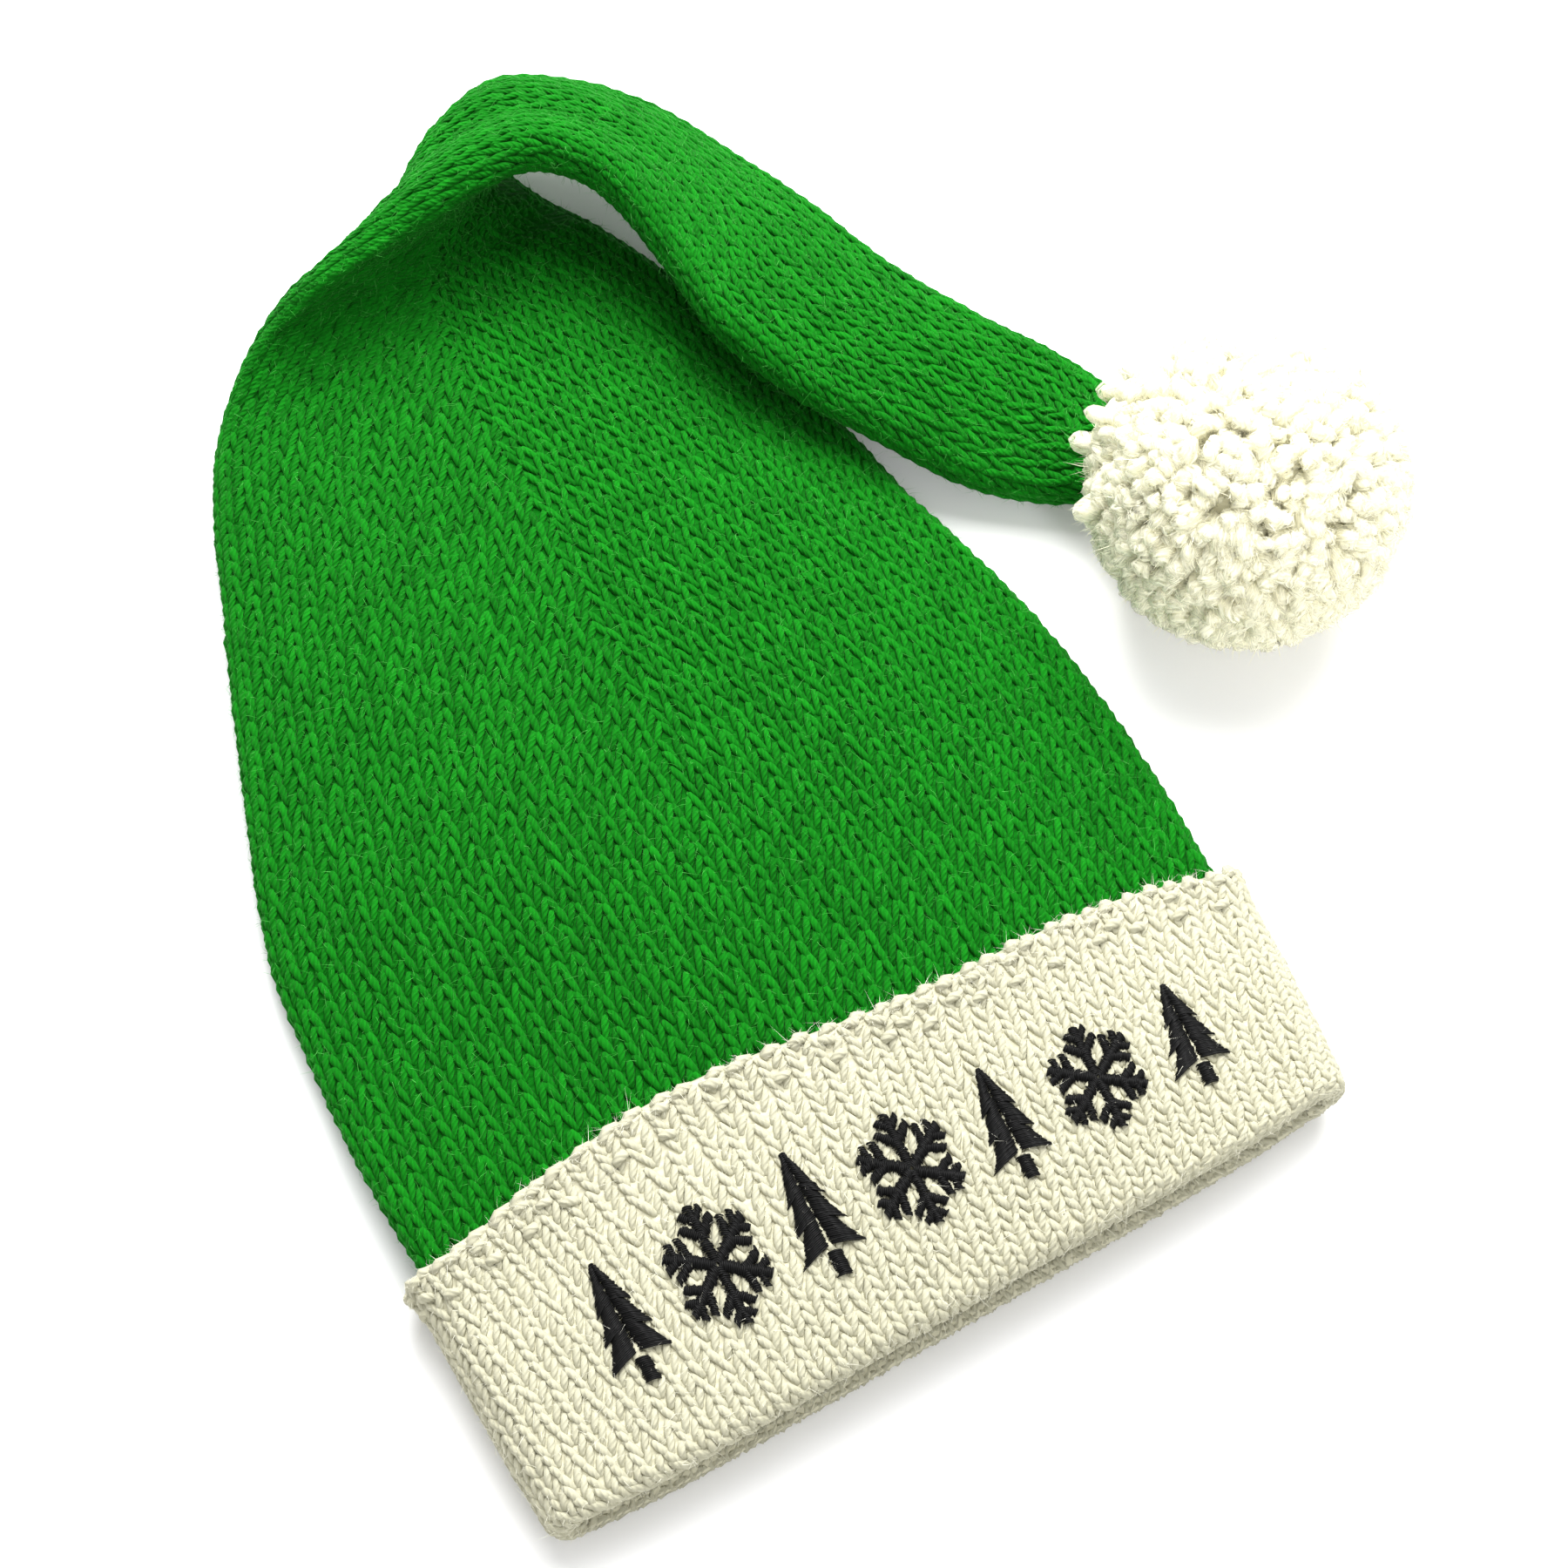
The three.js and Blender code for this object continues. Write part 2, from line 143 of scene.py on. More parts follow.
# Round-ended lengths of yarn along rows of centres.
def spindles(centres, normals, radii, sides, tone, squash, lobes=None, twist=1.1):
    count, stations = radii.shape
    tangent = unit(np.gradient(centres, axis=1))
    side = unit(np.cross(tangent, normals))
    up = np.cross(side, tangent)
    turn = -math.pi / 2 + 2 * math.pi * np.arange(sides) / sides
    body = slice(1, stations - 1)
    wide = radii[:, body, None] * (np.ones(sides) if lobes is None else lobes[:, body])
    ring = centres[:, body, None] + wide[..., None] * (
        np.cos(turn)[:, None] * side[:, body, None] + squash * np.sin(turn)[:, None] * up[:, body, None])
    rings = stations - 2
    each = rings * sides + 2
    points = np.concatenate([centres[:, :1], ring.reshape(count, -1, 3), centres[:, -1:]], axis=1)
    s, i = np.meshgrid(np.arange(rings - 1), np.arange(sides), indexing="ij")
    s, i = s.ravel(), i.ravel()
    j = (i + 1) % sides
    quads = 1 + np.stack([s * sides + i, (s + 1) * sides + i, (s + 1) * sides + j, s * sides + j], 1)
    high = (np.stack([s, s + 1, s + 1, s], 1) + 1) / (stations - 1)
    quadMap = np.stack([np.stack([i, i, i + 1, i + 1], 1) / sides, high], 2)
    k = np.arange(sides)
    after = (k + 1) % sides
    last = 1 + (rings - 1) * sides
    tris = np.concatenate([np.stack([0 * k, 1 + k, 1 + after], 1),
                           np.stack([0 * k + each - 1, last + after, last + k], 1)])
    low, top = 1 / (stations - 1), 1 - 1 / (stations - 1)
    triMap = np.concatenate([
        np.stack([np.stack([k + 0.5, k, k + 1], 1) / sides,
                  np.stack([0 * k, low + 0 * k, low + 0 * k], 1)], 2),
        np.stack([np.stack([k + 0.5, k + 1, k], 1) / sides,
                  np.stack([1 + 0 * k, top + 0 * k, top + 0 * k], 1)], 2),
    ])
    start = (np.arange(count) * each)[:, None, None]
    steps = np.linalg.norm(np.diff(centres, axis=1), axis=2)
    length = np.concatenate([np.zeros((count, 1)), np.cumsum(steps, 1)], 1)
    along = np.concatenate([length[:, :1], np.repeat(length[:, body], sides, 1), length[:, -1:]], 1)
    around = np.concatenate([[0.5], np.tile(np.arange(sides) / sides, rings), [0.5]]) * fibre["girth"]
    own = np.repeat(dice.uniform(0, fibre["apart"], (count, 1)), each, 1)
    lay = np.stack([along, around + along * twist, own], 2)
    shade = np.concatenate([tone[:, :1], np.repeat(tone[:, body], sides, 1), tone[:, -1:]], 1)
    return copies(count, points, quads + start, tris + start, quadMap, triMap, lay, shade)


# Hairs: thin ribbons that bend on the way out.
def hairs(roots, ways, bends, lengths, width, tone):
    count = len(roots)
    t = np.array([0, 0.5, 1.0])
    path = ways[:, None] * t[:, None] + bends[:, None] * (t * t)[:, None]
    line = roots[:, None] + path * lengths[:, None, None]
    side = unit(np.cross(ways, dice.normal(size=(count, 3)))) * width / 2
    taper = np.array([1, 0.75])[:, None, None]
    pairs = line[:, :2, None] + np.stack([-side, side], 1)[:, None] * taper
    points = np.concatenate([pairs.reshape(count, 4, 3), line[:, 2:]], 1)
    quads = np.array([[0, 1, 3, 2]])
    tris = np.array([[2, 3, 4]])
    quadMap = np.array([[[0, 0], [1, 0], [1, 0.5], [0, 0.5]]], float)
    triMap = np.array([[[0, 0.5], [1, 0.5], [0.5, 1]]])
    each = points.shape[1]
    start = (np.arange(count) * each)[:, None, None]
    own = np.repeat(dice.uniform(0, fibre["apart"], (count, 1)), each, 1)
    lay = np.stack([np.tile([0, 0, 1.5, 1.5, 3.0], (count, 1)), np.zeros((count, each)), own], 2)
    return copies(count, points, quads + start, tris + start, quadMap, triMap, lay, np.repeat(tone, each))


# A skin over rings of points, joined end to end, or capped at its first and last ring.
def skin(rings, tone, capped):
    count, around = rings.shape[:2]
    joins = count - 1 if capped else count
    k, i = np.meshgrid(np.arange(joins), np.arange(around), indexing="ij")
    k, i = k.ravel(), i.ravel()
    after, j = (k + 1) % count, (i + 1) % around
    quads = np.stack([k * around + i, k * around + j, after * around + j, after * around + i], 1)
    mapped = (np.stack([i, i + 1, i + 1, i], 1) / around, np.stack([k, k, k + 1, k + 1], 1) / joins)
    quadMap = np.stack(mapped, 2)
    points = rings.reshape(-1, 3)
    tris, triMap = np.zeros((0, 3), int), np.zeros((0, 3, 2))
    if capped:
        middle = len(points)
        points = np.concatenate([points, rings[:1].mean(1), rings[-1:].mean(1)])
        i = np.arange(around)
        j = (i + 1) % around
        last = (count - 1) * around
        tris = np.concatenate([np.stack([middle + 0 * i, j, i], 1),
                               np.stack([middle + 1 + 0 * i, last + i, last + j], 1)])
        triMap = np.zeros((len(tris), 3, 2)) + np.array([[0, 0], [0.001, 0], [0, 0.001]])
    return {
        "points": points, "quads": quads, "tris": tris, "quadMap": quadMap, "triMap": triMap, "cells": 1,
        "quadCell": np.zeros(len(quads), int), "triCell": np.zeros(len(tris), int),
        "lay": points, "tone": np.full(len(points), tone),
    }


# Joins parts into one named piece of the hat.
def sew(name, parts, material, stands=None):
    margin = 0.04  # kept free round each cell of the map
    starts = np.cumsum([0] + [len(p["points"]) for p in parts[:-1]])
    firstCell = np.cumsum([0] + [p["cells"] for p in parts[:-1]])
    grid = math.ceil(math.sqrt(sum(p["cells"] for p in parts)))

    def joined(key):
        return np.concatenate([p[key] for p in parts])

    def placed(which):
        cell = np.concatenate([p[which + "Cell"] + c for p, c in zip(parts, firstCell)])
        place = np.stack([cell % grid, cell // grid], 1)[:, None]
        return ((place + margin + (1 - 2 * margin) * joined(which + "Map")) / grid).reshape(-1, 2)

    points = joined("points") + shift
    points[:, 2] = np.maximum(points[:, 2], 0.06)  # nothing reaches into the floor
    quads = np.concatenate([p["quads"] + s for p, s in zip(parts, starts)])
    tris = np.concatenate([p["tris"] + s for p, s in zip(parts, starts)])
    mesh = bpy.data.meshes.new(name)
    mesh.vertices.add(len(points))
    mesh.vertices.foreach_set("co", (points * 0.001).astype(np.float32).ravel())
    mesh.loops.add(quads.size + tris.size)
    mesh.loops.foreach_set("vertex_index", np.concatenate([quads.ravel(), tris.ravel()]).astype(np.int32))
    mesh.polygons.add(len(quads) + len(tris))
    begins = np.concatenate([np.arange(len(quads)) * 4, quads.size + np.arange(len(tris)) * 3])
    mesh.polygons.foreach_set("loop_start", begins.astype(np.int32))
    mesh.update(calc_edges=True)
    mesh.shade_smooth()
    uvMap = mesh.uv_layers.new(name="OFBake")
    uvMap.data.foreach_set("uv", np.concatenate([placed("quad"), placed("tri")]).astype(np.float32).ravel())
    tones = mesh.attributes.new("tone", "FLOAT", "POINT")
    tones.data.foreach_set("value", joined("tone").astype(np.float32))
    lays = mesh.attributes.new("lay", "FLOAT_VECTOR", "POINT")
    lays.data.foreach_set("vector", joined("lay").astype(np.float32).ravel())
    mesh.materials.append(material)
    piece = bpy.data.objects.new(name, mesh)
    bpy.context.scene.collection.objects.link(piece)
    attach(piece, "root")
    if stands:
        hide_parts(stands)
    print(name, 2 * len(quads) + len(tris), "triangles")
    return piece


# A socket that takes part in Python sums, and the tree it is in.
class Wire:
    def __init__(self, finish, socket):
        self.finish, self.socket = finish, socket

    def __add__(self, other):
        return self.finish.maths("ADD", self, other)

    def __sub__(self, other):
        return self.finish.maths("SUBTRACT", self, other)

    def __rsub__(self, other):
        return self.finish.maths("SUBTRACT", other, self)

    def __mul__(self, other):
        return self.finish.maths("MULTIPLY", self, other)

    __radd__ = __add__
    __rmul__ = __mul__


class Finish:
    def __init__(self, name):
        self.material = bpy.data.materials.new(name)
        self.material.use_nodes = True
        self.tree = self.material.node_tree
        self.tree.nodes.clear()

    def add(self, kind, settings=None, inputs=None, out=0):
        made = self.tree.nodes.new(kind)
        for key, value in (settings or {}).items():
            setattr(made, key, value)
        for key, value in (inputs or {}).items():
            if isinstance(value, Wire):
                self.tree.links.new(value.socket, made.inputs[key])
            else:
                made.inputs[key].default_value = value
        return Wire(self, made.outputs[out]) if len(made.outputs) else made

    def maths(self, operation, first, second):
        return self.add("ShaderNodeMath", {"operation": operation}, {0: first, 1: second})

    def mix(self, amount, first, second):
        settings = {"data_type": "RGBA", "clamp_factor": True}
        return self.add("ShaderNodeMix", settings, {0: amount, 6: first, 7: second}, 2)

    def scaled(self, vector, by):
        return self.add("ShaderNodeVectorMath", {"operation": "MULTIPLY"}, {0: vector, 1: by})

    def noise(self, vector, scale, detail=2.0):
        return self.add("ShaderNodeTexNoise", None, {"Vector": vector, "Scale": scale, "Detail": detail})

    def surface(self, inputs):
        shader = self.add("ShaderNodeBsdfPrincipled", None, inputs)
        self.add("ShaderNodeOutputMaterial", None, {"Surface": shader})
        return self.material


# Spun wool: streaks along the yarn, each length of yarn a little lighter or darker, with painted shade where
# it dives (from the tone it is given) and painted shade and light across its plies.
def wool(name, look):
    finish = Finish(name)
    lay = finish.add("ShaderNodeAttribute", {"attribute_name": "lay"}, None, "Vector")
    tone = finish.add("ShaderNodeAttribute", {"attribute_name": "tone"}, None, "Fac")
    place = finish.add("ShaderNodeTexCoord", None, None, "Object")
    streaks = finish.noise(finish.scaled(lay, fibre["stretch"]), 1.0, 3.0)
    patches = finish.noise(place, look["patchScale"], 2.0)
    around = finish.add("ShaderNodeSeparateXYZ", None, {0: lay}, "Y")
    # plies: painted shade in the grooves between plies and painted light on their crests, besides the bump
    # they give
    plies = finish.maths("SINE", around * math.pi, 0.0) * 0.5
    amount = tone + (streaks - 0.5) * look["streak"] + (patches - 0.5) * look["patch"] + plies * look["ply"]
    colour = finish.mix(amount, look["dark"], look["light"])
    height = streaks + plies * fibre["plyHeight"]
    bump = finish.add("ShaderNodeBump", None, {
        "Strength": look["bump"], "Distance": fibre["bumpDepth"], "Height": height})
    cover = 1.0
    if "haze" in look:
        cover = finish.add("ShaderNodeMath", {"operation": "MULTIPLY", "use_clamp": True},
                           {0: streaks - look["haze"], 1: fibre["hazeRise"]})
    return finish.surface({
        "Base Color": colour, "Alpha": cover, "Roughness": look["roughness"], "Normal": bump,
        "Specular IOR Level": look["shine"],
        "Sheen Weight": look["sheen"], "Sheen Roughness": 0.5, "Sheen Tint": look["sheenTint"],
    })


greenLook = {
    "dark": (0.0008, 0.056, 0.0015, 1), "light": (0.005, 0.190, 0.007, 1),
    "streak": 0.75, "ply": 0.22, "patch": 0.16, "patchScale": 26.0,
    "bump": 0.5, "roughness": 0.9, "shine": 0.06,
    "sheen": 0.08, "sheenTint": (0.22, 1.0, 0.2, 1),
}
# painted shade: the sheet under the stitches is a darker green than the yarn, standing for the shade in the
# gaps between stitches
greenUnderShade = dict(greenLook, dark=(0.001, 0.07, 0.002, 1), light=(0.003, 0.15, 0.005, 1), ply=0.0, sheen=0.0)
greenStray = dict(greenLook, dark=(0.015, 0.24, 0.015, 1), light=(0.16, 0.60, 0.14, 1), ply=0.0, bump=0.0)
creamLook = {
    "dark": (0.42, 0.406, 0.292, 1), "light": (0.49, 0.476, 0.352, 1),
    "streak": 0.8, "ply": 0.22, "patch": 0.14, "patchScale": 30.0,
    "bump": 0.4, "roughness": 0.9, "shine": 0.1,
    "sheen": 0.2, "sheenTint": (1.0, 0.98, 0.85, 1),
}
# painted light: the sheet under the cuff's stitches is a lighter cream than the yarn, lifting the shade in
# the gaps between stitches
creamUnderLit = dict(creamLook, dark=(0.52, 0.50, 0.365, 1), light=(0.60, 0.58, 0.435, 1), ply=0.0, sheen=0.0)
creamStray = dict(creamLook, dark=(0.66, 0.65, 0.52, 1), light=(0.84, 0.83, 0.71, 1), ply=0.0, bump=0.0)
yarnLook = dict(creamLook, dark=(0.95, 0.905, 0.68, 1), light=(0.985, 0.965, 0.775, 1),
                streak=0.7, ply=0.2, patch=0.1, bump=0.25, sheen=0.5)
yarnStray = dict(yarnLook, ply=0.0, bump=0.0)
yarnHaze = dict(yarnLook, ply=0.0, bump=0.0, haze=0.32)
threadLook = {
    "dark": (0.001, 0.001, 0.001, 1), "light": (0.005, 0.005, 0.005, 1),
    "streak": 0.5, "ply": 0.0, "patch": 0.1, "patchScale": 40.0,
    "bump": 0.2, "roughness": 0.6, "shine": 0.18,
    "sheen": 0.0, "sheenTint": (1, 1, 1, 1),
}
greenWool, greenShadeWool = wool("green_wool", greenLook), wool("green_wool_painted_shade", greenUnderShade)
creamWool, creamLitWool = wool("cream_wool", creamLook), wool("cream_wool_painted_light", creamUnderLit)
pompomYarn, blackThread = wool("pompom_yarn", yarnLook), wool("black_thread", threadLook)
greenHair, creamHair = wool("green_stray", greenStray), wool("cream_stray", creamStray)
pompomHair, pompomHaze = wool("pompom_stray", yarnStray), wool("pompom_haze", yarnHaze)
print("materials made")

crown = {
    "walePitch": 5.45,
    "rowPitch": 4.45,
    "yarn": 5.6,
    "reach": 1.04,
    "bias": 0.13,
    "firstRow": 5.0,
    "bodyEnd": 262.0,
    "step": 0.5,
    "under": 1.45,
    "wall": 3.4,
    "insideSteps": (7.0, 4.5),  # along the bag, and finer along the tail
    "fineFrom": 250.0,
    "slopeOver": 4.0,  # either way
    "stretch": 0.04,  # share by which wales may give before one ends
    "closeWales": 2.5,  # wales beside the middle line that take up the rest
    "valley": (-0.4, 0.3),  # its place across the back and its width
    "foldSwell": 3.0,  # folds fade where the front swells less than this
    "relief": {"front": 0.8, "under": 0.8, "tail": 0.5},
    "squash": {"front": 0.72, "under": 0.72, "tail": 0.6},
    # left fold x y z, right fold x y z, half of the thickness, front swell, back swell, valley
    "sections": [
        (-112.5, 57, 10.9, 110.5, 57, 10.9, 6.5, 8, 0, 0),
        (-114.5, 78, 10.9, 111, 78, 10.9, 6.5, 8.2, 0, 0),
        (-116.5, 105, 9, 112, 105, 9, 6.5, 11.6, 0, 0),
        (-116.5, 132, 6.5, 111.8, 132, 6.5, 6.5, 15.2, 0, 0),
        (-115.5, 158, 6.5, 109, 158, 6.5, 6.5, 15.6, 0, 0),
        (-109.2, 187, 6.5, 103, 187, 6.5, 6.5, 15.6, 0, 0),
        (-101.8, 213, 6.5, 95.6, 213, 6.5, 6.5, 15.4, 0, 0),
        (-94, 240, 6.5, 90, 240, 6.5, 6.5, 13.8, 0, 0),
        (-85.8, 266, 6.5, 82, 266, 6.5, 6.5, 11.8, 0, 0),
        (-78.5, 290, 7, 74.5, 290, 6.5, 6.5, 9.2, 0, 0),
        (-66.5, 315, 9, 66, 316, 6.5, 6.5, 5.2, 0, 0),
        (-48, 329.8, 22.5, 55.5, 338, 6.5, 6.6, 2, 2, 0),
        (-27.5, 329.3, 40, 46, 354, 6.5, 6.8, 1, 4.5, 1),
        (-3.5, 329, 49.5, 40, 369, 7, 7, 1, 6, 2.5),
        (18.5, 330.5, 54.5, 39, 380, 8.5, 7, 1, 5.5, 3.5),
        (37, 331, 54, 49, 385, 13, 7, 1, 4.5, 3.5),
        (50, 324, 51, 66.8, 376.6, 13, 7, 1, 3.5, 2.5),
        (57, 311.5, 46.5, 85, 357, 14.2, 7, 1, 2.5, 1),
        (60.3, 292.9, 41.5, 98.5, 332.7, 14.2, 7, 1, 2.5, 0),
        (63.1, 270, 37.1, 110.2, 309.1, 14.5, 7, 1, 2.5, 0),
        (74.1, 246.7, 29.8, 122.9, 277.8, 13.8, 7, 1, 2.5, 0),
        (90.2, 225.9, 22.6, 137, 251, 15.5, 7, 1, 2.5, 0),
        (107.5, 206.4, 14.1, 150.2, 233.8, 13, 7, 1, 2.5, 0),
        (124, 194, 11, 157.5, 217, 15, 7, 1, 2.5, 0),
        (137, 186, 15, 161, 204, 19, 7, 0, 2, 0),
        (148, 182, 20, 160, 193, 23, 5.5, 0, 0, 0),
    ],
    # soft folds in the front: y, x, reach along y and x, depth
    "folds": [
        (228, -22, 46, 11, 2.2),
        (292, -40, 26, 20, 2.4),
        (118, 46, 34, 30, 1.6),
        (100, -66, 26, 22, 1.4),
    ],
}
sections = np.array(crown["sections"], float)
leftStep = np.linalg.norm(np.diff(sections[:, 0:3], axis=0), axis=1)
rightStep = np.linalg.norm(np.diff(sections[:, 3:6], axis=0), axis=1)
crownAt = np.concatenate([[0], np.cumsum((leftStep + rightStep) / 2)])
crownLength = crownAt[-1]


def crownFrames(s):
    row = smoothTable(sections, crownAt, s)
    ahead = smoothTable(sections, crownAt, np.minimum(crownLength, s + crown["slopeOver"]))
    behind = smoothTable(sections, crownAt, np.maximum(0, s - crown["slopeOver"]))
    centre = (row[:, 0:3] + row[:, 3:6]) / 2
    across = row[:, 3:6] - row[:, 0:3]
    halfWidth = np.linalg.norm(across, axis=1) / 2
    along = ahead[:, 0:3] + ahead[:, 3:6] - behind[:, 0:3] - behind[:, 3:6]
    normal = unit(np.cross(across, along))
    return row, centre, unit(across), normal, halfWidth


def crownRings(s, grow, template):
    row, centre, across, normal, halfWidth = crownFrames(s)
    a, b = flatRing(template, halfWidth + grow, row[:, 6] + grow, row[:, 7], row[:, 8])
    u, side = template[:, 0], template[:, 3]
    points = centre[:, None] + across[:, None] * a[..., None]
    dent = 0
    for y, x, reachY, reachX, depth in crown["folds"]:
        apart = ((points[..., 1] - y) / reachY) ** 2 + ((points[..., 0] - x) / reachX) ** 2
        dent = dent + depth * np.exp(-apart)
    fade = np.minimum(1, row[:, 7] / crown["foldSwell"])[:, None]
    dent = np.where(side > 0, dent * (1 - u ** 4) * fade, 0)
    middle, width = crown["valley"]
    valley = np.where(side < 0, row[:, 9:10] * np.exp(-((u - middle) / width) ** 2), 0)
    points = points + normal[:, None] * (b - dent + valley)[..., None]
    points[..., 2] = np.maximum(points[..., 2], 0)
    return points


def onRing(ring, arc, place):
    return np.stack([np.interp(place, arc, ring[:, k], period=arc[-1]) for k in range(3)], 1)


# The crown's face laid out twice: by the distance from its left fold and from its right fold.
def crownCloths():
    template, rightAt = ringTemplate(120, 10)
    rows = int((crownLength - 4) / (crown["rowPitch"] / 2))
    s = np.arange(rows) * crown["rowPitch"] / 2
    rings = crownRings(s, 0, template)
    steps = np.linalg.norm(np.diff(rings, axis=1), axis=2)
    arcs = np.concatenate([np.zeros((rows, 1)), np.cumsum(steps, 1)], 1)
    front = arcs[:, rightAt]
    reach = front.max() / 2 + 12
    place = np.arange(-reach, reach, crown["step"])
    left = np.stack([onRing(ring, arc, place) for ring, arc in zip(rings, arcs)])
    right = np.stack([onRing(ring, arc, place + f) for ring, arc, f in zip(rings, arcs, front)])
    return Cloth(left), Cloth(right), front, arcs[:, -1] - front, reach


# One leg of a stitch from its low end to its high end: shares of the wale and row pitch, depth in mm.
leg = {
    "across": np.array([0.03, 0.085, 0.185, 0.32, 0.42, 0.47]),
    "along": np.array([-0.94, -0.62, -0.2, 0.22, 0.62, 0.92]),
    "top": -0.9,
    "depth": np.array([-1.6, -0.7, -0.05, 0.0, -0.55, -1.6]),
    "radius": np.array([0, 0.17, 0.21, 0.215, 0.175, 0]),
    # painted shade: each leg's tone is lower at its ends, where it dives under the stitches beside it
    "tone": np.array([0.46, 0.54, 0.60, 0.61, 0.55, 0.46]),
    # stations kept and sides for near, plain and hidden stitches
    "keep": {"near": [0, 1, 2, 3, 4, 5], "plain": [0, 1, 3, 4, 5], "hidden": [0, 1, 4, 5]},
    "sides": {"near": 5, "plain": 5, "hidden": 4},
    # the left leg lies a little higher and is a little fuller
    "proud": 0.06,
    "fuller": 0.035,
    # how much stitches differ
    "uneven": 0.055,
    "ownShare": 0.6,
    "reachSpread": 0.05,
    "depthSpread": 0.14,
    "thickSpread": 0.06,
    "toneSpread": 0.11,
}


def stitchLegs(cloth, rows, columns, waleSteps, look, relief, detail):
    count = len(rows)
    keep = leg["keep"][detail]
    parts = []
    sway = dice.normal(0, leg["uneven"], (count, 1))
    lift = dice.normal(0, leg["uneven"], (count, 1))
    for side in (-1, 1):
        own = dice.normal(0, leg["uneven"] * leg["ownShare"], (count, 1))
        across = side * leg["across"][keep] + look["bias"] * leg["along"][keep] + sway + own
        longer = 1 + dice.normal(0, leg["reachSpread"], (count, 1))
        along = leg["along"][keep] * look["reach"] * longer + lift + own
        centres, normals = cloth.at(rows[:, None] + along * 2, columns[:, None] + across * waleSteps[:, None])
        sunk = leg["depth"][keep] - side * leg["proud"] + dice.normal(0, leg["depthSpread"], (count, 1))
        depth = leg["top"] + relief * sunk
        thick = leg["radius"][keep] * look["yarn"] * (1 - side * leg["fuller"])
        thick = thick * (1 + dice.normal(0, leg["thickSpread"], (count, 1)))
        tone = leg["tone"][keep] + dice.normal(0, leg["toneSpread"], (count, 1))
        parts.append((centres + normals * depth[..., None], normals, thick, tone))
    return [np.concatenate([p[k] for p in parts]) for k in range(4)]


# Where each stitch of the crown lies.
# Wales follow both side folds, so those that end do so on the middle line.
def crownStitches():
    left, right, front, back, reach = crownCloths()
    step, pitch = crown["step"], crown["walePitch"]
    found = {"front": [], "under": [], "tail": []}
    number = round(front.max() / pitch)
    for row in range(int(crown["firstRow"] / crown["rowPitch"] * 2), len(front) - 2, 2):
        number = min(number, max(3, round(front[row] / pitch)))
        tail = row * crown["rowPitch"] / 2 > crown["bodyEnd"]
        for length, way in ((front[row], 1), (back[row], -1)):
            give = crown["stretch"] * pitch
            spacing = pitch + np.clip(length / number - pitch, -give, give)
            spare = length - number * spacing
            fromLeft = number // 2
            fromRight = number - fromLeft - 1
            for which, cloth, groupSize in ((0, left, fromLeft), (1, right, fromRight)):
                k = np.arange(0 if way > 0 else 1, groupSize + 1)
                if len(k) == 0:
                    continue
                spread = spare * 0.5 * np.exp(-(groupSize - k) / crown["closeWales"])
                place = (k * spacing + spread) * (way if which == 0 else -way)
                columns = (place + reach) / step
                face = "tail" if tail else ("front" if way > 0 else "under")
                for column in columns:
                    found[face].append((which, row, column, spacing / step))
    return left, right, {face: np.array(rows) for face, rows in found.items()}


def makeCrown():
    template, _ = ringTemplate(34, 5)
    template = template[:-1]
    wide, fine = crown["insideSteps"]
    bag = np.arange(0, crown["fineFrom"], wide)
    stations = np.concatenate([bag, np.arange(crown["fineFrom"], crownLength - 3, fine)])
    outer = crownRings(stations, -crown["under"], template)
    inner = crownRings(stations[:-3:2], -crown["wall"], template)[::-1]
    # a shell under the stitches in green with painted shade, darker than the yarn so the gaps show dark; it
    # is also the hat's inside
    sew("crown_inside", [skin(np.concatenate([inner, outer]), 0.4, True)], greenShadeWool, "crown")
    left, right, places = crownStitches()
    grown = []
    for face, detail in (("front", "plain"), ("under", "hidden"), ("tail", "plain")):
        parts = []
        for which, cloth in ((0, left), (1, right)):
            mine = places[face][places[face][:, 0] == which]
            relief, squash = crown["relief"][face], crown["squash"][face]
            legs = stitchLegs(cloth, mine[:, 1], mine[:, 2], mine[:, 3], crown, relief, detail)
            parts.append(spindles(legs[0], legs[1], legs[2], leg["sides"][detail], legs[3], squash))
            if face != "under":
                grown.append(legs)
        sew("crown_" + face + "_stitches", parts, greenWool)
    return grown


crownLegs = makeCrown()

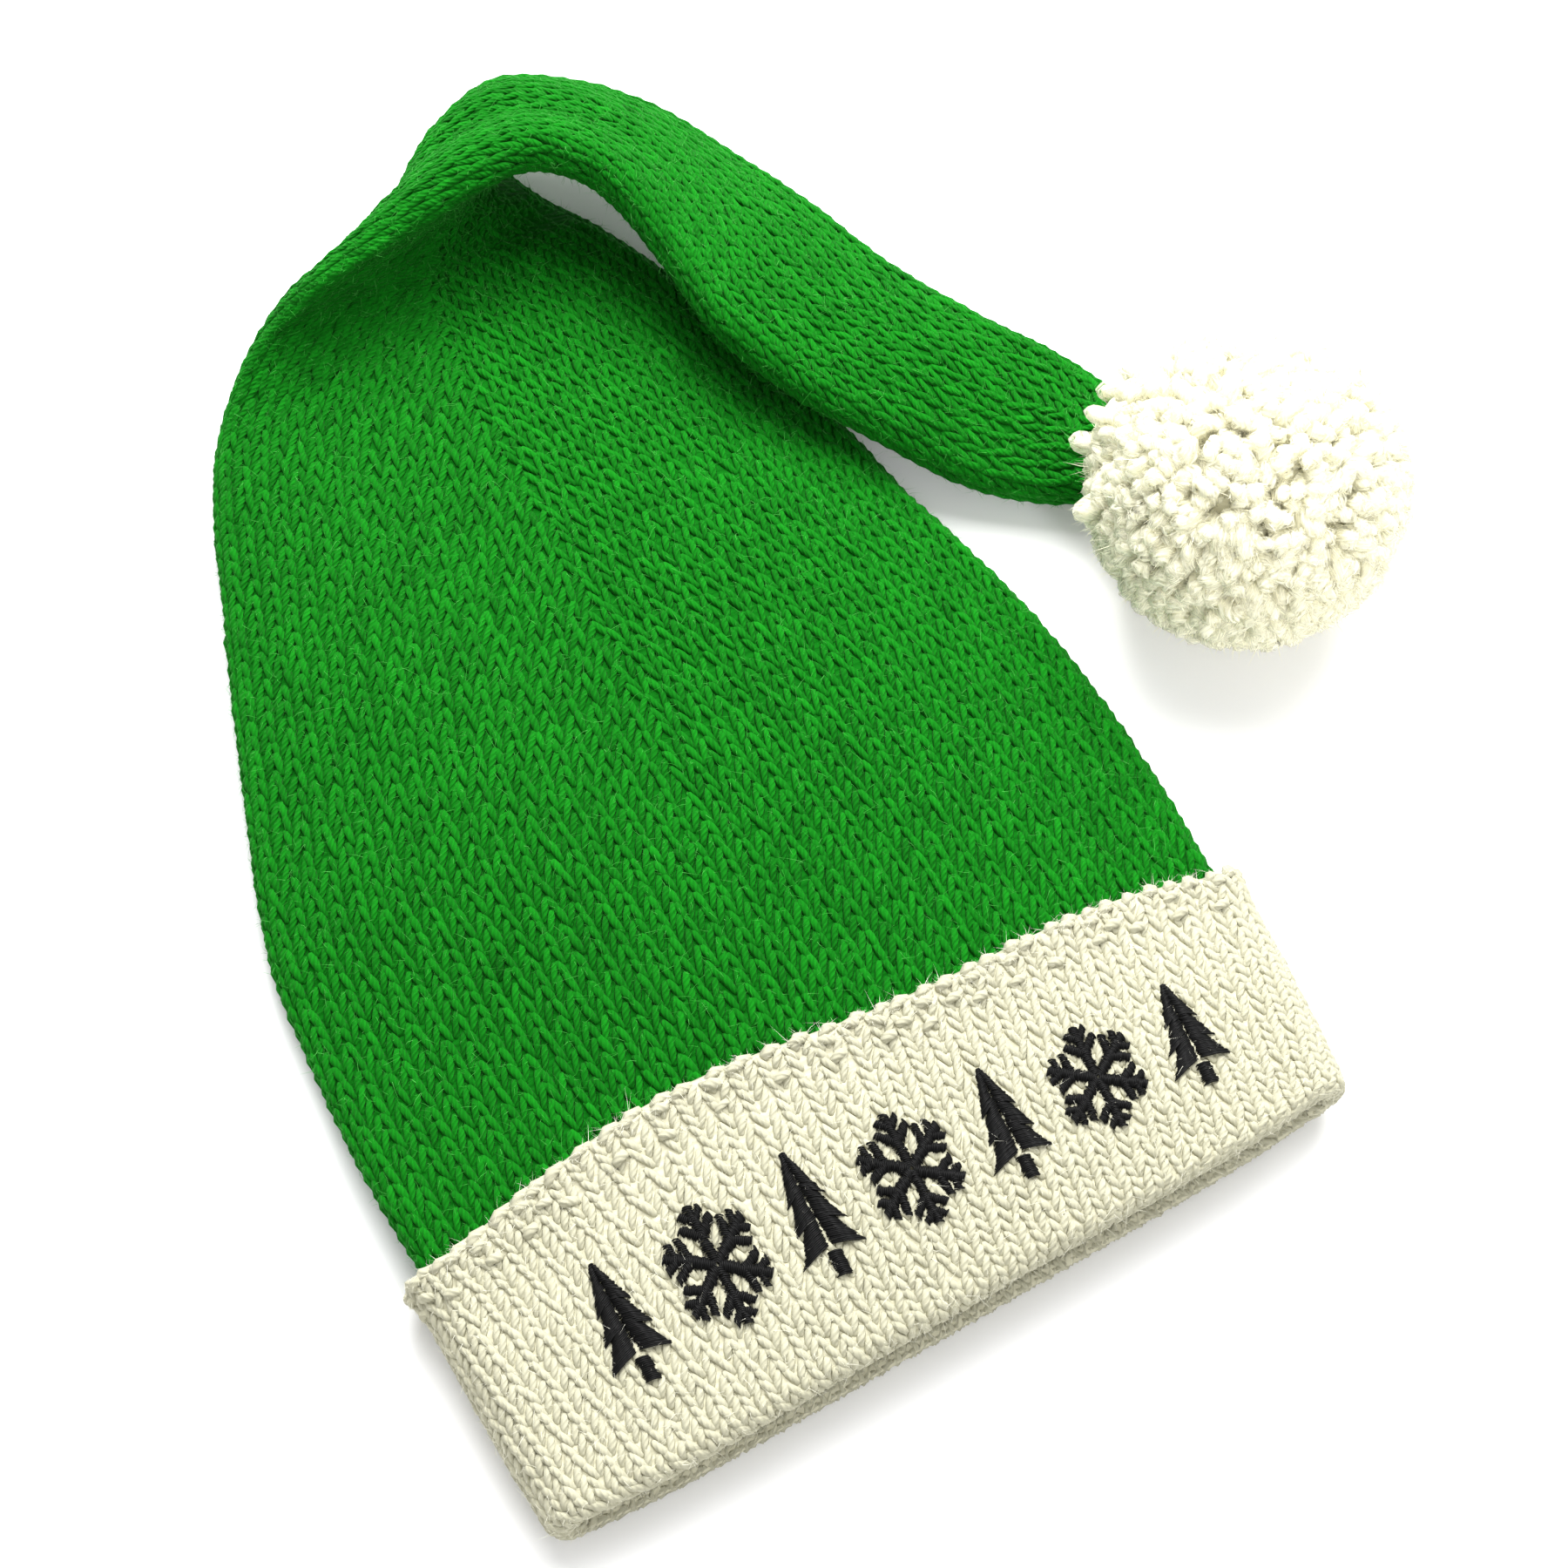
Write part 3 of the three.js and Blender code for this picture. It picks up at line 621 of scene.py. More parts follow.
cuff = {
    "wales": 42,
    "yarn": 5.5,
    "relief": 0.52,
    "squash": 0.8,
    "reach": 1.12,
    "bias": 0.05,
    "rowPitch": 2.9,
    "lift": 10.9,
    "lyingHalf": 6.5,
    "knitWall": 3.5,
    "outside": 4.4,
    "depth": 71.0,
    "plainTo": 68.0,
    "foldRadius": 4.2,
    "faceBulge": 0.3,
    "rimBulge": 0.9,
    "rimBow": 7.5,
    "bowRows": (14.0, 50.0),  # height where the bow starts, and how much further it grows
    "cornerRise": 2.0,
    "foldLean": 6.5,
    "leanTo": 48.0,
    "rimLean": 1.0,
    "rimWave": 2.5,
    "waves": (0.45, 1.3),  # shift and length of the rim's waves, in half widths
    "under": 1.1,
    "innerUnder": 1.2,
    # the faces between the two layers: y, distance out, 1 on the turned-up layer
    "between": [(69, 0.7, 1), (55, 0.6, 1), (40, 0.6, 1), (22, 0.6, 1), (9, 0.6, 1),
                (7.5, 0.2, 0), (9, -0.2, 0), (22, -0.2, 0), (40, -0.2, 0), (56.6, -0.2, 0)],
    "insideFrom": 16.0,
    # how far wales drift sideways on their way up to the rim, by place across the front and then the back
    "drift": ([-1, -0.75, -0.5, -0.25, 0, 0.25, 0.5, 0.75, 1, 3], [-8, -8, -8, -1, 6, 8, 7, 6, 6, -8]),
    "driftRows": (8.0, 55.0),  # height where the drift starts, and how much further it grows
    "width": 226.0,
    # grid columns in all, the one at the left fold, and those across the front
    "gridColumns": 1001,
    "gridFrom": 100,
    "gridWide": 400,
    # y, how far aside, half width, front swell
    "sections": [
        (0, -0.7, 107, 3),
        (18, -0.8, 108.6, 5.5),
        (40, -0.9, 110.2, 7.5),
        (57, -1, 111.5, 8),
        (84, -1.9, 113.2, 8.6),
    ],
}
cuffTable = np.array(cuff["sections"], float)


# Where a point of the cuff lies along the hat, from its height in section and its place across.
def cuffAway(y, u, up):
    bowFrom, bowOver = cuff["bowRows"]
    rise = np.clip((y - bowFrom) / bowOver, 0, 1) * up
    low = np.clip(1 - y / cuff["leanTo"], 0, 1)
    waveShift, waveLength = cuff["waves"]
    wave = cuff["rimLean"] * u + cuff["rimWave"] * np.cos(2 * math.pi * (u + waveShift) / waveLength)
    lean = (cuff["foldLean"] * u + cuff["cornerRise"] * u ** 6) * low + wave * rise
    return y + cuff["rimBow"] * rise * rise * (3 - 2 * rise) * (1 - u * u) + lean


def cuffRings(y, grow, up, template):
    row = smoothTable(cuffTable[:, 1:], cuffTable[:, 0], np.maximum(0, y))
    a, b = flatRing(template, row[:, 1] + grow, cuff["lyingHalf"] + grow, row[:, 2], 0 * grow)
    away = cuffAway(y[:, None], template[:, 0], up[:, None])
    return np.stack([row[:, :1] + a, away, np.maximum(0, cuff["lift"] + b)], 2)


# The cuff's visible face in section: from the seam down the inside, round the fold and up to the rim.
def cuffFace(inset):
    inner, outer = -cuff["knitWall"] + inset, cuff["outside"] - inset
    points = [(56.6, inner, 0), (40, inner, 0), (22, inner, 0), (7, inner, 0)]
    middle, reach = (outer + inner) / 2, (outer - inner) / 2
    for turn in np.linspace(0, math.pi, 13)[1:-1]:
        along = inset + (cuff["foldRadius"] - inset * 0.3) * (1 - math.sin(turn))
        points.append((along, middle - reach * math.cos(turn), int(turn > 1)))
    face, rim, top = outer + cuff["faceBulge"], outer + cuff["rimBulge"], cuff["depth"]
    points += [(7, outer, 1), (22, face, 1), (40, face, 1), (58, outer, 1), (62, face, 1), (65, rim, 1),
               (top - 2 - inset * 0.4, rim, 1), (top - inset * 0.6, outer - 1.8 + inset * 0.5, 1)]
    return np.array(points, float)


def cuffCloth():
    face = cuffFace(0)
    arc = np.concatenate([[0], np.cumsum(np.hypot(np.diff(face[:, 0]), np.diff(face[:, 1])))])
    t = np.arange(0, arc[-1], cuff["rowPitch"] / 2)
    y, grow = np.interp(t, arc, face[:, 0]), np.interp(t, arc, face[:, 1])
    up = np.interp(t, arc, face[:, 2]) > 0.5
    template, rightAt = ringTemplate(120, 10)
    rings = cuffRings(y, grow, up, template)
    columns = []
    share = (np.arange(cuff["gridColumns"]) - cuff["gridFrom"]) / cuff["gridWide"]
    for ring in rings:
        along = np.concatenate([[0], np.cumsum(np.linalg.norm(np.diff(ring, axis=0), axis=1))])
        front = along[rightAt]
        whole = np.mod(share, 2)
        place = np.where(whole < 1, whole * front, front + (whole - 1) * (along[-1] - front))
        columns.append(onRing(ring, along, place))
    return Cloth(np.stack(columns)), y, up, t


# Purl bumps under the rim and the chain of its edge.
# Shares of the wale pitch and of two grid rows, depth in mm.
garter = {
    "across": np.array([-0.44, -0.26, 0.0, 0.26, 0.44]),
    "along": np.array([-0.2, -0.02, 0.08, -0.02, -0.2]),
    "depth": np.array([-1.5, -0.35, 0.0, -0.35, -1.5]),
    "radius": np.array([0, 1.15, 1.35, 1.15, 0]),
    # painted shade: each bump and edge link has a lower tone at its ends, where it dives into the fabric
    "tone": np.array([0.46, 0.56, 0.62, 0.56, 0.46]),
    # height of each row, its first wale and step, and the share of these that have a bump
    "rows": [(61.0, 0, 2, 0.95), (63.8, 1, 2, 0.35), (66.2, 0, 2, 0.7), (68.2, 1, 2, 0.9)],
    "edgeAcross": np.array([-0.56, -0.34, 0.0, 0.34, 0.56]),
    "edgeAlong": np.array([-0.75, -0.42, 0.10, 0.46, 0.6]),
    "edgeDepth": np.array([-2.2, -0.9, -0.2, -0.9, -2.2]),
    "edge": 1.3,
    "edgeHeight": 68.0,
    "edgeBack": 0.9,
    "sides": 6,
    "squash": 0.8,
    # how much bumps differ
    "jitter": 0.11,
    "lean": (0.12, 0.2),
    "depthSpread": 0.14,
    "thickSpread": 0.08,
    "toneSpread": 0.07,
}


# Grid columns of wales, by number round the cuff, at one row.
def cuffColumns(wales, height):
    share = np.asarray(wales) / cuff["wales"]
    driftFrom, driftOver = cuff["driftRows"]
    grown = np.clip((height - driftFrom) / driftOver, 0, 1)
    drift = np.interp(2 * share - 1, *cuff["drift"]) / cuff["width"] * grown
    return cuff["gridFrom"] + cuff["gridWide"] * (share + drift)


def garterBumps(cloth, rows, columns, waleStep, across, along, depth, size):
    count = len(rows)
    jitter = dice.normal(0, garter["jitter"], (count, 1))
    lean = dice.normal(*garter["lean"], (count, 1)) * np.linspace(-1, 1, 5)
    centres, normals = cloth.at(rows[:, None] + (along + lean + jitter) * 2,
                                columns[:, None] + (across + jitter) * waleStep)
    sunk = depth + dice.normal(0, garter["depthSpread"], (count, 1))
    thick = garter["radius"] * size * (1 + dice.normal(0, garter["thickSpread"], (count, 1)))
    tone = garter["tone"] + dice.normal(0, garter["toneSpread"], (count, 1))
    return centres + normals * sunk[..., None], normals, thick, tone


def makeCuff():
    template, _ = ringTemplate(36, 5)
    template = template[:-1]
    body = cuffFace(cuff["under"])
    body[:4, 1] = -cuff["knitWall"] + cuff["innerUnder"]
    profile = np.concatenate([body, np.array(cuff["between"], float)])
    rings = cuffRings(profile[:, 0], profile[:, 1], profile[:, 2] > 0.5, template)
    # a skin under the cuff's stitches in cream with painted light, lighter than the yarn so the gaps show
    # little shade; it is also the cuff's inside
    sew("cuff_inside", [skin(rings, 0.4, False)], creamLitWool, "cuff")

    cloth, y, up, t = cuffCloth()
    number = cuff["wales"]
    waleStep = cuff["gridWide"] / number
    rows = np.arange(2, len(t) - 1, 2)
    plain = rows[~up[rows] | (y[rows] < cuff["plainTo"])]
    wales = np.arange(2 * number)
    parts = {"front": [], "under": []}
    grown = []
    for row in plain:
        seen = (wales <= number) | (wales == 2 * number - 1)
        if not up[row] and y[row] > cuff["insideFrom"]:
            seen = np.zeros_like(seen)  # inside the hat
        for name, detail, mine in (("front", "near", wales[seen]), ("under", "hidden", wales[~seen])):
            if len(mine) == 0:
                continue
            height = y[row] if up[row] else 0
            columns = cuffColumns(mine, height)
            steps = cuffColumns(mine + 0.5, height) - cuffColumns(mine - 0.5, height)
            level = np.full(len(mine), float(row))
            legs = stitchLegs(cloth, level, columns, steps, cuff, cuff["relief"], detail)
            parts[name].append(legs)
            if name == "front":
                grown.append(legs)
    for name, detail in (("front", "near"), ("under", "hidden")):
        legs = [np.concatenate([p[k] for p in parts[name]]) for k in range(4)]
        part = spindles(legs[0], legs[1], legs[2], leg["sides"][detail], legs[3], cuff["squash"])
        sew("cuff_" + name + "_stitches", [part], creamWool)

    rim = len(t) - 1
    bumps = []
    for high, first, every, share in garter["rows"]:
        row = np.interp(high, y[up], np.arange(len(t))[up])
        mine = wales[first::every]
        mine = mine[dice.uniform(0, 1, len(mine)) < share]
        bumps.append(garterBumps(cloth, np.full(len(mine), row), cuffColumns(mine, high), waleStep,
                                 garter["across"], garter["along"], garter["depth"], 1.0))
    edgeColumns = cuffColumns(wales + 0.25, garter["edgeHeight"])
    edge = garterBumps(cloth, np.full(2 * number, rim - garter["edgeBack"]), edgeColumns, waleStep,
                       garter["edgeAcross"], garter["edgeAlong"], garter["edgeDepth"], garter["edge"])
    bumps.append(edge)
    legs = [np.concatenate([p[k] for p in bumps]) for k in range(4)]
    part = spindles(legs[0], legs[1], legs[2], garter["sides"], legs[3], garter["squash"])
    sew("cuff_rim", [part], creamWool)
    return grown, [edge, bumps[-3], bumps[-2]]


cuffLegs, rimBumps = makeCuff()

# Satin-stitched firs and snow crystals in a row along the front of the cuff.
embroidery = {
    "places": [-79, -52, -25, 2, 29, 56, 83],
    "halfSpan": 108.0,
    "middle": 32.0,
    "pitch": 0.42,
    "slant": 0.8,
    "thread": 0.27,
    "raised": 0.85,
    # stations along a thread, its height and its tone at each; the tone is painted shade, lower at the ends
    # where the thread dives into the cuff
    "stations": np.array([0, 0.14, 0.5, 0.86, 1]),
    "arch": np.array([-1.6, 0.15, 1.0, 0.15, -1.6]),
    "tones": np.array([0.2, 0.5, 0.7, 0.5, 0.2]),
    "fullArch": 3.0,  # shorter threads rise less
    # how much threads differ
    "ragged": (-0.15, 0.45),
    "heightSpread": 0.06,
    "thickSpread": 0.06,
    "toneSpread": 0.12,
    # firs: tiers from low to high as y at foot, y at top, width at foot, width at top
    "tiers": [(-8.5, -0.5, 19.0, 8.0), (-2.5, 5.5, 15.0, 6.0), (3.5, 13.0, 11.0, 1.2)],
    "trunk": (-13.0, -7.5, 4.2),
    "droop": 2.6,
    "tierPitch": 1.05,
    "tierCurve": 0.85,
    "overlap": 0.25,
    # snow crystals: arm length and width, and twigs as distance out, length, width
    "arm": (12.8, 2.9),
    "twigs": [(6.2, 5.4, 2.3), (9.6, 3.6, 2.0)],
    "twigTurn": math.pi / 3.4,
    "hub": 0.4,
    "taper": 0.8,
    "crystalRise": 0.5,
}


# A spot on the front of the cuff, from its place across, its height and how far it is lifted off.
def cuffSpot(x, y, lifted):
    u = x / embroidery["halfSpan"]
    row = smoothTable(cuffTable[:, 1:], cuffTable[:, 0], y)
    straight = row[:, 1] - cuff["lyingHalf"]
    grow = cuff["outside"] + cuff["faceBulge"] + lifted
    high = cuff["lift"] + cuff["lyingHalf"] + grow + row[:, 2] * (1 - u * u)
    return np.stack([row[:, 0] + u * straight, cuffAway(y, u, 1), high], 1)


# Threads laid side by side across a line, as pairs of ends.
def satinRow(start, end, width):
    start, end = np.array(start, float), np.array(end, float)
    length = np.linalg.norm(end - start)
    count = max(3, int(length / embroidery["pitch"]))
    t = (np.arange(count) + 0.5) / count
    way = (end - start) / length
    aside = np.array([-way[1], way[0]])
    middle = start + (end - start) * t[:, None]
    half = np.interp(t, [0, 0.5, 1], width)[:, None] / 2
    slant = way * embroidery["pitch"] * embroidery["slant"]
    return np.stack([middle - aside * half - slant, middle + aside * half + slant], 1)


def firThreads():
    rows = []
    for foot, top, wide, narrow in embroidery["tiers"]:
        count = int((top - foot) / (embroidery["pitch"] * embroidery["tierPitch"]))
        t = (np.arange(count) + 0.5) / count
        y = foot + (top - foot) * t + embroidery["droop"] * (1 - 0.5 * t)
        half = (wide + (narrow - wide) * t ** embroidery["tierCurve"]) / 2
        for side in (-1, 1):
            inner = np.stack([-side * embroidery["overlap"] + 0 * t, y], 1)
            outer = np.stack([side * half, y - embroidery["droop"] * (half / half.max())], 1)
            rows.append(np.stack([inner, outer], 1))
    foot, top, wide = embroidery["trunk"]
    rows.append(satinRow((0, foot), (0, top), (wide, wide, wide)))
    return np.concatenate(rows)


def crystalThreads():
    rows = []
    length, width = embroidery["arm"]
    taper = embroidery["taper"]
    for k in range(6):
        turn = math.pi / 2 + k * math.pi / 3
        way = np.array([math.cos(turn), math.sin(turn)])
        rows.append(satinRow(way * embroidery["hub"], way * length, (width, width, width * taper)))
        for out, twig, wide in embroidery["twigs"]:
            for side in (-1, 1):
                aside = turn + side * embroidery["twigTurn"]
                tip = way * out + twig * np.array([math.cos(aside), math.sin(aside)])
                rows.append(satinRow(way * out, tip, (wide, wide, wide * taper)))
    return np.concatenate(rows)


def makeEmbroidery():
    threads = []
    for k, x in enumerate(embroidery["places"]):
        fir = k % 2 == 0
        motif = firThreads() if fir else crystalThreads()
        middle = embroidery["middle"] + (0 if fir else embroidery["crystalRise"])
        threads.append(motif + np.array([x, middle]))
    ends = np.concatenate(threads)
    count = len(ends)
    length = np.linalg.norm(ends[:, 1] - ends[:, 0], axis=1)
    way = (ends[:, 1] - ends[:, 0]) / length[:, None]
    ends[:, 0] -= way * dice.uniform(*embroidery["ragged"], (count, 1))
    ends[:, 1] += way * dice.uniform(*embroidery["ragged"], (count, 1))
    flat = ends[:, :1] + (ends[:, 1:] - ends[:, :1]) * embroidery["stations"][:, None]
    height = embroidery["arch"] * embroidery["raised"]
    height = height * np.minimum(1, length / embroidery["fullArch"])[:, None]
    height = height + dice.normal(0, embroidery["heightSpread"], (count, 1))
    x, y, height = flat[..., 0].ravel(), flat[..., 1].ravel(), height.ravel()
    centres = cuffSpot(x, y, height)
    aside, ahead = cuffSpot(x + 0.5, y, height) - centres, cuffSpot(x, y + 0.5, height) - centres
    normals = unit(np.cross(aside, ahead))
    thick = np.array([0, 1, 1, 1, 0]) * embroidery["thread"]
    thick = thick * (1 + dice.normal(0, embroidery["thickSpread"], (count, 1)))
    tone = embroidery["tones"] + dice.normal(0, embroidery["toneSpread"], (count, 1))
    parts = spindles(centres.reshape(count, 5, 3), normals.reshape(count, 5, 3), thick, 4, tone, 1.0)
    sew("cuff_embroidery", [parts], blackThread)


makeEmbroidery()

pompom = {
    "centre": np.array([165.0, 159.0, 39.0]),
    "tufts": 2300,
    "scatter": 0.07,
    "root": 14.0,
    "reach": (38.8, 42.4),
    "thick": (1.65, 2.1),
    "bend": 0.2,
    "sag": 0.10,
    "haze": 1.2,
    "sides": 5,
    # stations along a tuft, and at each: how far it wanders, its thickness and its tone; the tone is painted
    # shade, lower towards the roots deep in the ball
    "stations": np.array([0, 0.35, 0.6, 0.78, 0.9, 0.975, 1.0]),
    "wander": np.array([0.4, 0.4, 0.4, 0.28, 0.12, 0.04, 0]),
    "taper": np.array([0, 0.85, 0.95, 1.0, 1.02, 0.84, 0]),
    "tones": np.array([0.5, 0.55, 0.6, 0.65, 0.7, 0.7, 0.7]),
    "toneSpread": 0.06,
    # the two plies of a tuft: turn for each mm out, depth, and how rough they are
    "ply": (0.22, 0.12, 0.05),
    "core": 34.0,
    "coreRough": 0.5,
    "capTurn": 0.12,
    # the end of the tail that tufts lie over: its length, the gap to it, its swell and how far its tip rounds
    "tail": (70.0, 2.0, 2.0, 4.0),
    # loose ends: direction out, sideways turn, reach
    "loose": [((0.55, -0.75, -0.35), (0.9, 0.1, -0.2), 47.0), ((0.1, -0.85, -0.5), (0.8, -0.2, -0.1), 45.0),
              ((-0.35, 0.75, 0.35), (-0.2, 0.5, 0.3), 46.0), ((-0.15, 0.85, 0.2), (-0.6, 0.3, 0.2), 46.0),
              ((-0.75, 0.55, 0.2), (-0.1, 0.2, 0.0), 47.0), ((-0.85, 0.35, 0.25), (-0.2, -0.1, -0.1), 46.0),
              ((-0.6, 0.65, 0.4), (-0.2, 0.1, 0.1), 47.0)],
}


# Pushes points out of the end of the tail, so that tufts lie over it.
def clearOfTail(points):
    length, gap, swell, tip = pompom["tail"]
    s = np.linspace(crownLength - length, crownLength, 36)
    row, centre, across, normal, halfWidth = crownFrames(s)
    flat = points.reshape(-1, 3)
    near = np.argmin(np.linalg.norm(flat[:, None] - centre[None], axis=2), axis=1)
    offset = flat - centre[near]
    wide, high = halfWidth[near] + gap, row[near, 6] + swell + gap
    a = np.sum(offset * across[near], 1) / wide
    b = np.sum(offset * normal[near], 1) / high
    size = np.maximum(np.hypot(a, b), 1e-6)
    past = np.abs(np.sum(offset * np.cross(across[near], normal[near]), 1)) > tip
    more = np.where((size < 1) & ~past, 1 / size, 1) - 1
    away = (a * more * wide)[:, None] * across[near] + (b * more * high)[:, None] * normal[near]
    return (flat + away).reshape(points.shape)


# The ball that the tufts stand on.
def pompomCore():
    turns = np.linspace(0, 2 * math.pi, 40, endpoint=False)
    levels = np.linspace(pompom["capTurn"], math.pi - pompom["capTurn"], 20)
    ball = np.stack([np.outer(np.sin(levels), np.cos(turns)), np.outer(np.sin(levels), np.sin(turns)),
                     np.outer(np.cos(levels), np.ones_like(turns))], 2)
    rough = dice.normal(0, pompom["coreRough"], (len(levels), len(turns), 1))
    return skin(pompom["centre"] + ball[::-1] * (pompom["core"] + rough), 0.5, True)


# A thin halo of fibres round the outer part of each tuft.
def pompomHalo(centres, normals, thick):
    tips = centres[:, -1:] + unit(centres[:, -1:] - centres[:, -2:-1]) * np.array([0.5, 1.6])[:, None]
    around = np.concatenate([centres[:, 2:-1], tips], 1)
    wide = np.concatenate([thick[:, 2:-1] + pompom["haze"], thick[:, -2:-1] + 0.2, 0 * thick[:, :1]], 1)
    wide[:, 0] = 0
    upright = np.concatenate([normals[:, 2:-1], normals[:, -1:], normals[:, -1:]], 1)
    return spindles(around, upright, wide, 4, np.full(wide.shape, 0.7), 1.0, None, 0.6)


def makePompom():
    count = pompom["tufts"]
    k = np.arange(count) + 0.5
    high = 1 - 2 * k / count
    turn = k * math.pi * (3 - math.sqrt(5))
    flat = np.sqrt(1 - high * high)
    ways = np.stack([flat * np.cos(turn), flat * np.sin(turn), high], 1)
    ways = unit(ways + dice.normal(0, pompom["scatter"], (count, 3)))
    bends = np.cross(ways, dice.normal(size=(count, 3))) * pompom["bend"]
    reach = dice.uniform(*pompom["reach"], count)
    loose = pompom["loose"]
    ways = np.concatenate([ways, unit(np.array([way for way, aside, end in loose]))])
    bends = np.concatenate([bends, np.array([aside for way, aside, end in loose])])
    reach = np.concatenate([reach, [end for way, aside, end in loose]])
    count = len(ways)
    t = pompom["stations"]
    out = pompom["root"] + (reach[:, None] - pompom["root"]) * t
    sag = np.array([0, 0, -1]) * pompom["sag"]
    heading = unit(ways[:, None] + (bends[:, None] + sag) * (t * t)[:, None])
    centres = pompom["centre"] + heading * out[..., None]
    centres = centres + dice.normal(size=(count, len(t), 3)) * pompom["wander"][:, None]
    centres = clearOfTail(centres)
    thick = dice.uniform(*pompom["thick"], (count, 1)) * pompom["taper"]
    centres[..., 2] = np.maximum(centres[..., 2], thick * 0.6 + 0.2)
    normals = unit(np.cross(np.gradient(centres, axis=1), dice.normal(size=(count, 1, 3))))
    sides = pompom["sides"]
    angle = 2 * math.pi * np.arange(sides) / sides
    turnPerMm, plyDepth, plyRough = pompom["ply"]
    ply = dice.uniform(0, 6.3, (count, 1, 1)) + (out * turnPerMm)[..., None]  # from any turn
    lobes = 1 + plyDepth * np.cos(2 * (angle + ply)) + dice.normal(0, plyRough, (count, len(t), sides))
    tone = pompom["tones"] + dice.normal(0, pompom["toneSpread"], (count, 1))
    tufts = spindles(centres, normals, thick, sides, tone, 1.0, lobes, 0.6)
    sew("pompom_yarns", [tufts, pompomCore()], pompomYarn, "pompom")
    sew("pompom_haze", [pompomHalo(centres, normals, thick)], pompomHaze)
    return centres


tuftLines = makePompom()

fuzz = {
    "crownHairs": 30000,
    "cuffHairs": 8400,
    "rimHairs": 3600,
    "length": (1.4, 6.0),
    "width": 0.09,
    "rootOut": 0.4,
    "stand": (0.25, 1.0),
    "sweep": (-0.5, 0.5),
    "curl": 0.28,
    "lieDown": 0.25,
    "greenTone": 0.28,
    "creamTone": 0.8,
    "toneSpread": 0.12,
    # the pompom's own
    "pompomHairs": 26000,
    "pompomLength": (2.2, 6.0),
    "pompomWidth": 0.2,
    "pompomRootOut": (1.6, 2.4),
    "pompomSplay": (0.0, 0.45),
    "pompomCurl": 0.3,
    "pompomTone": (0.6, 0.2),
}


def strayHairs(legs, count, stations, tone):
    roots = np.concatenate([p[0] for p in legs])
    normals = np.concatenate([p[1] for p in legs])
    which = dice.integers(0, len(roots), count)
    station = dice.choice(stations, count)
    root, normal = roots[which, station], normals[which, station]
    flat = unit(np.cross(normal, dice.normal(size=(count, 3))))
    ways = unit(normal * dice.uniform(*fuzz["stand"], (count, 1)) + flat)
    bends = flat * dice.uniform(*fuzz["sweep"], (count, 1)) + dice.normal(0, fuzz["curl"], (count, 3))
    bends = bends - normal * fuzz["lieDown"]
    low, high = fuzz["length"]
    lengths = low + (high - low) * dice.beta(1.3, 3.5, count)  # more short ones than long ones
    tones = tone + dice.normal(0, fuzz["toneSpread"], count)
    return hairs(root + normal * fuzz["rootOut"], ways, bends, lengths, fuzz["width"], tones)


def pompomWisps():
    count = fuzz["pompomHairs"]
    which = dice.integers(0, len(tuftLines), count)
    share = dice.uniform(0, 1, (count, 1))
    root = tuftLines[which, 2] * (1 - share) + tuftLines[which, 5] * share
    heading = unit(tuftLines[which, 6] - tuftLines[which, 3])
    flat = unit(np.cross(heading, dice.normal(size=(count, 3))))
    ways = unit(heading + flat * dice.uniform(*fuzz["pompomSplay"], (count, 1)))
    bends = dice.normal(0, fuzz["pompomCurl"], (count, 3))
    low, high = fuzz["pompomLength"]
    lengths = low + (high - low) * dice.beta(1.6, 2.6, count)
    tones = dice.normal(*fuzz["pompomTone"], count)
    root = root + flat * dice.uniform(*fuzz["pompomRootOut"], (count, 1))
    return hairs(root, ways, bends, lengths, fuzz["pompomWidth"], tones)


def makeFuzz():
    crownHairs = strayHairs(crownLegs, fuzz["crownHairs"], [2, 3], fuzz["greenTone"])
    sew("crown_fuzz", [crownHairs], greenHair)
    cuffHairs = strayHairs(cuffLegs, fuzz["cuffHairs"], [2, 3], fuzz["creamTone"])
    rimHairs = strayHairs(rimBumps, fuzz["rimHairs"], [1, 2, 3], fuzz["creamTone"])
    sew("cuff_fuzz", [cuffHairs, rimHairs], creamHair)
    sew("pompom_fuzz", [pompomWisps()], pompomHair)


makeFuzz()

stage = {
    "target": np.array([26.60, 153.21, 0.0]),
    "azimuth": -26.6,
    "elevation": 63.0,
    "distance": 0.85,
    "lens": 74.28,
    "world": 0.56,
    # lamps, placed in metres
    "key": {"at": (0.58, 0.76, 1.42), "size": 1.7, "power": 70.0},
    "fill": {"at": (-0.05, -0.56, 0.55), "size": 0.7, "power": 1.5},
    "back": {"at": (0.20, 0.54, 0.60), "size": 0.4, "power": 4.0},
    "spot": {"at": (0.04, -0.52, 0.46), "aim": (0.125, -0.045, 0.03),
             "angle": 15.0, "power": 11.0, "soft": 0.08},
    "floorGlow": 0.11,
    "floorReach": 3.0,
    "floor": ((0.84, 0.84, 0.84, 1), (0.87, 0.87, 0.87, 1)),
}


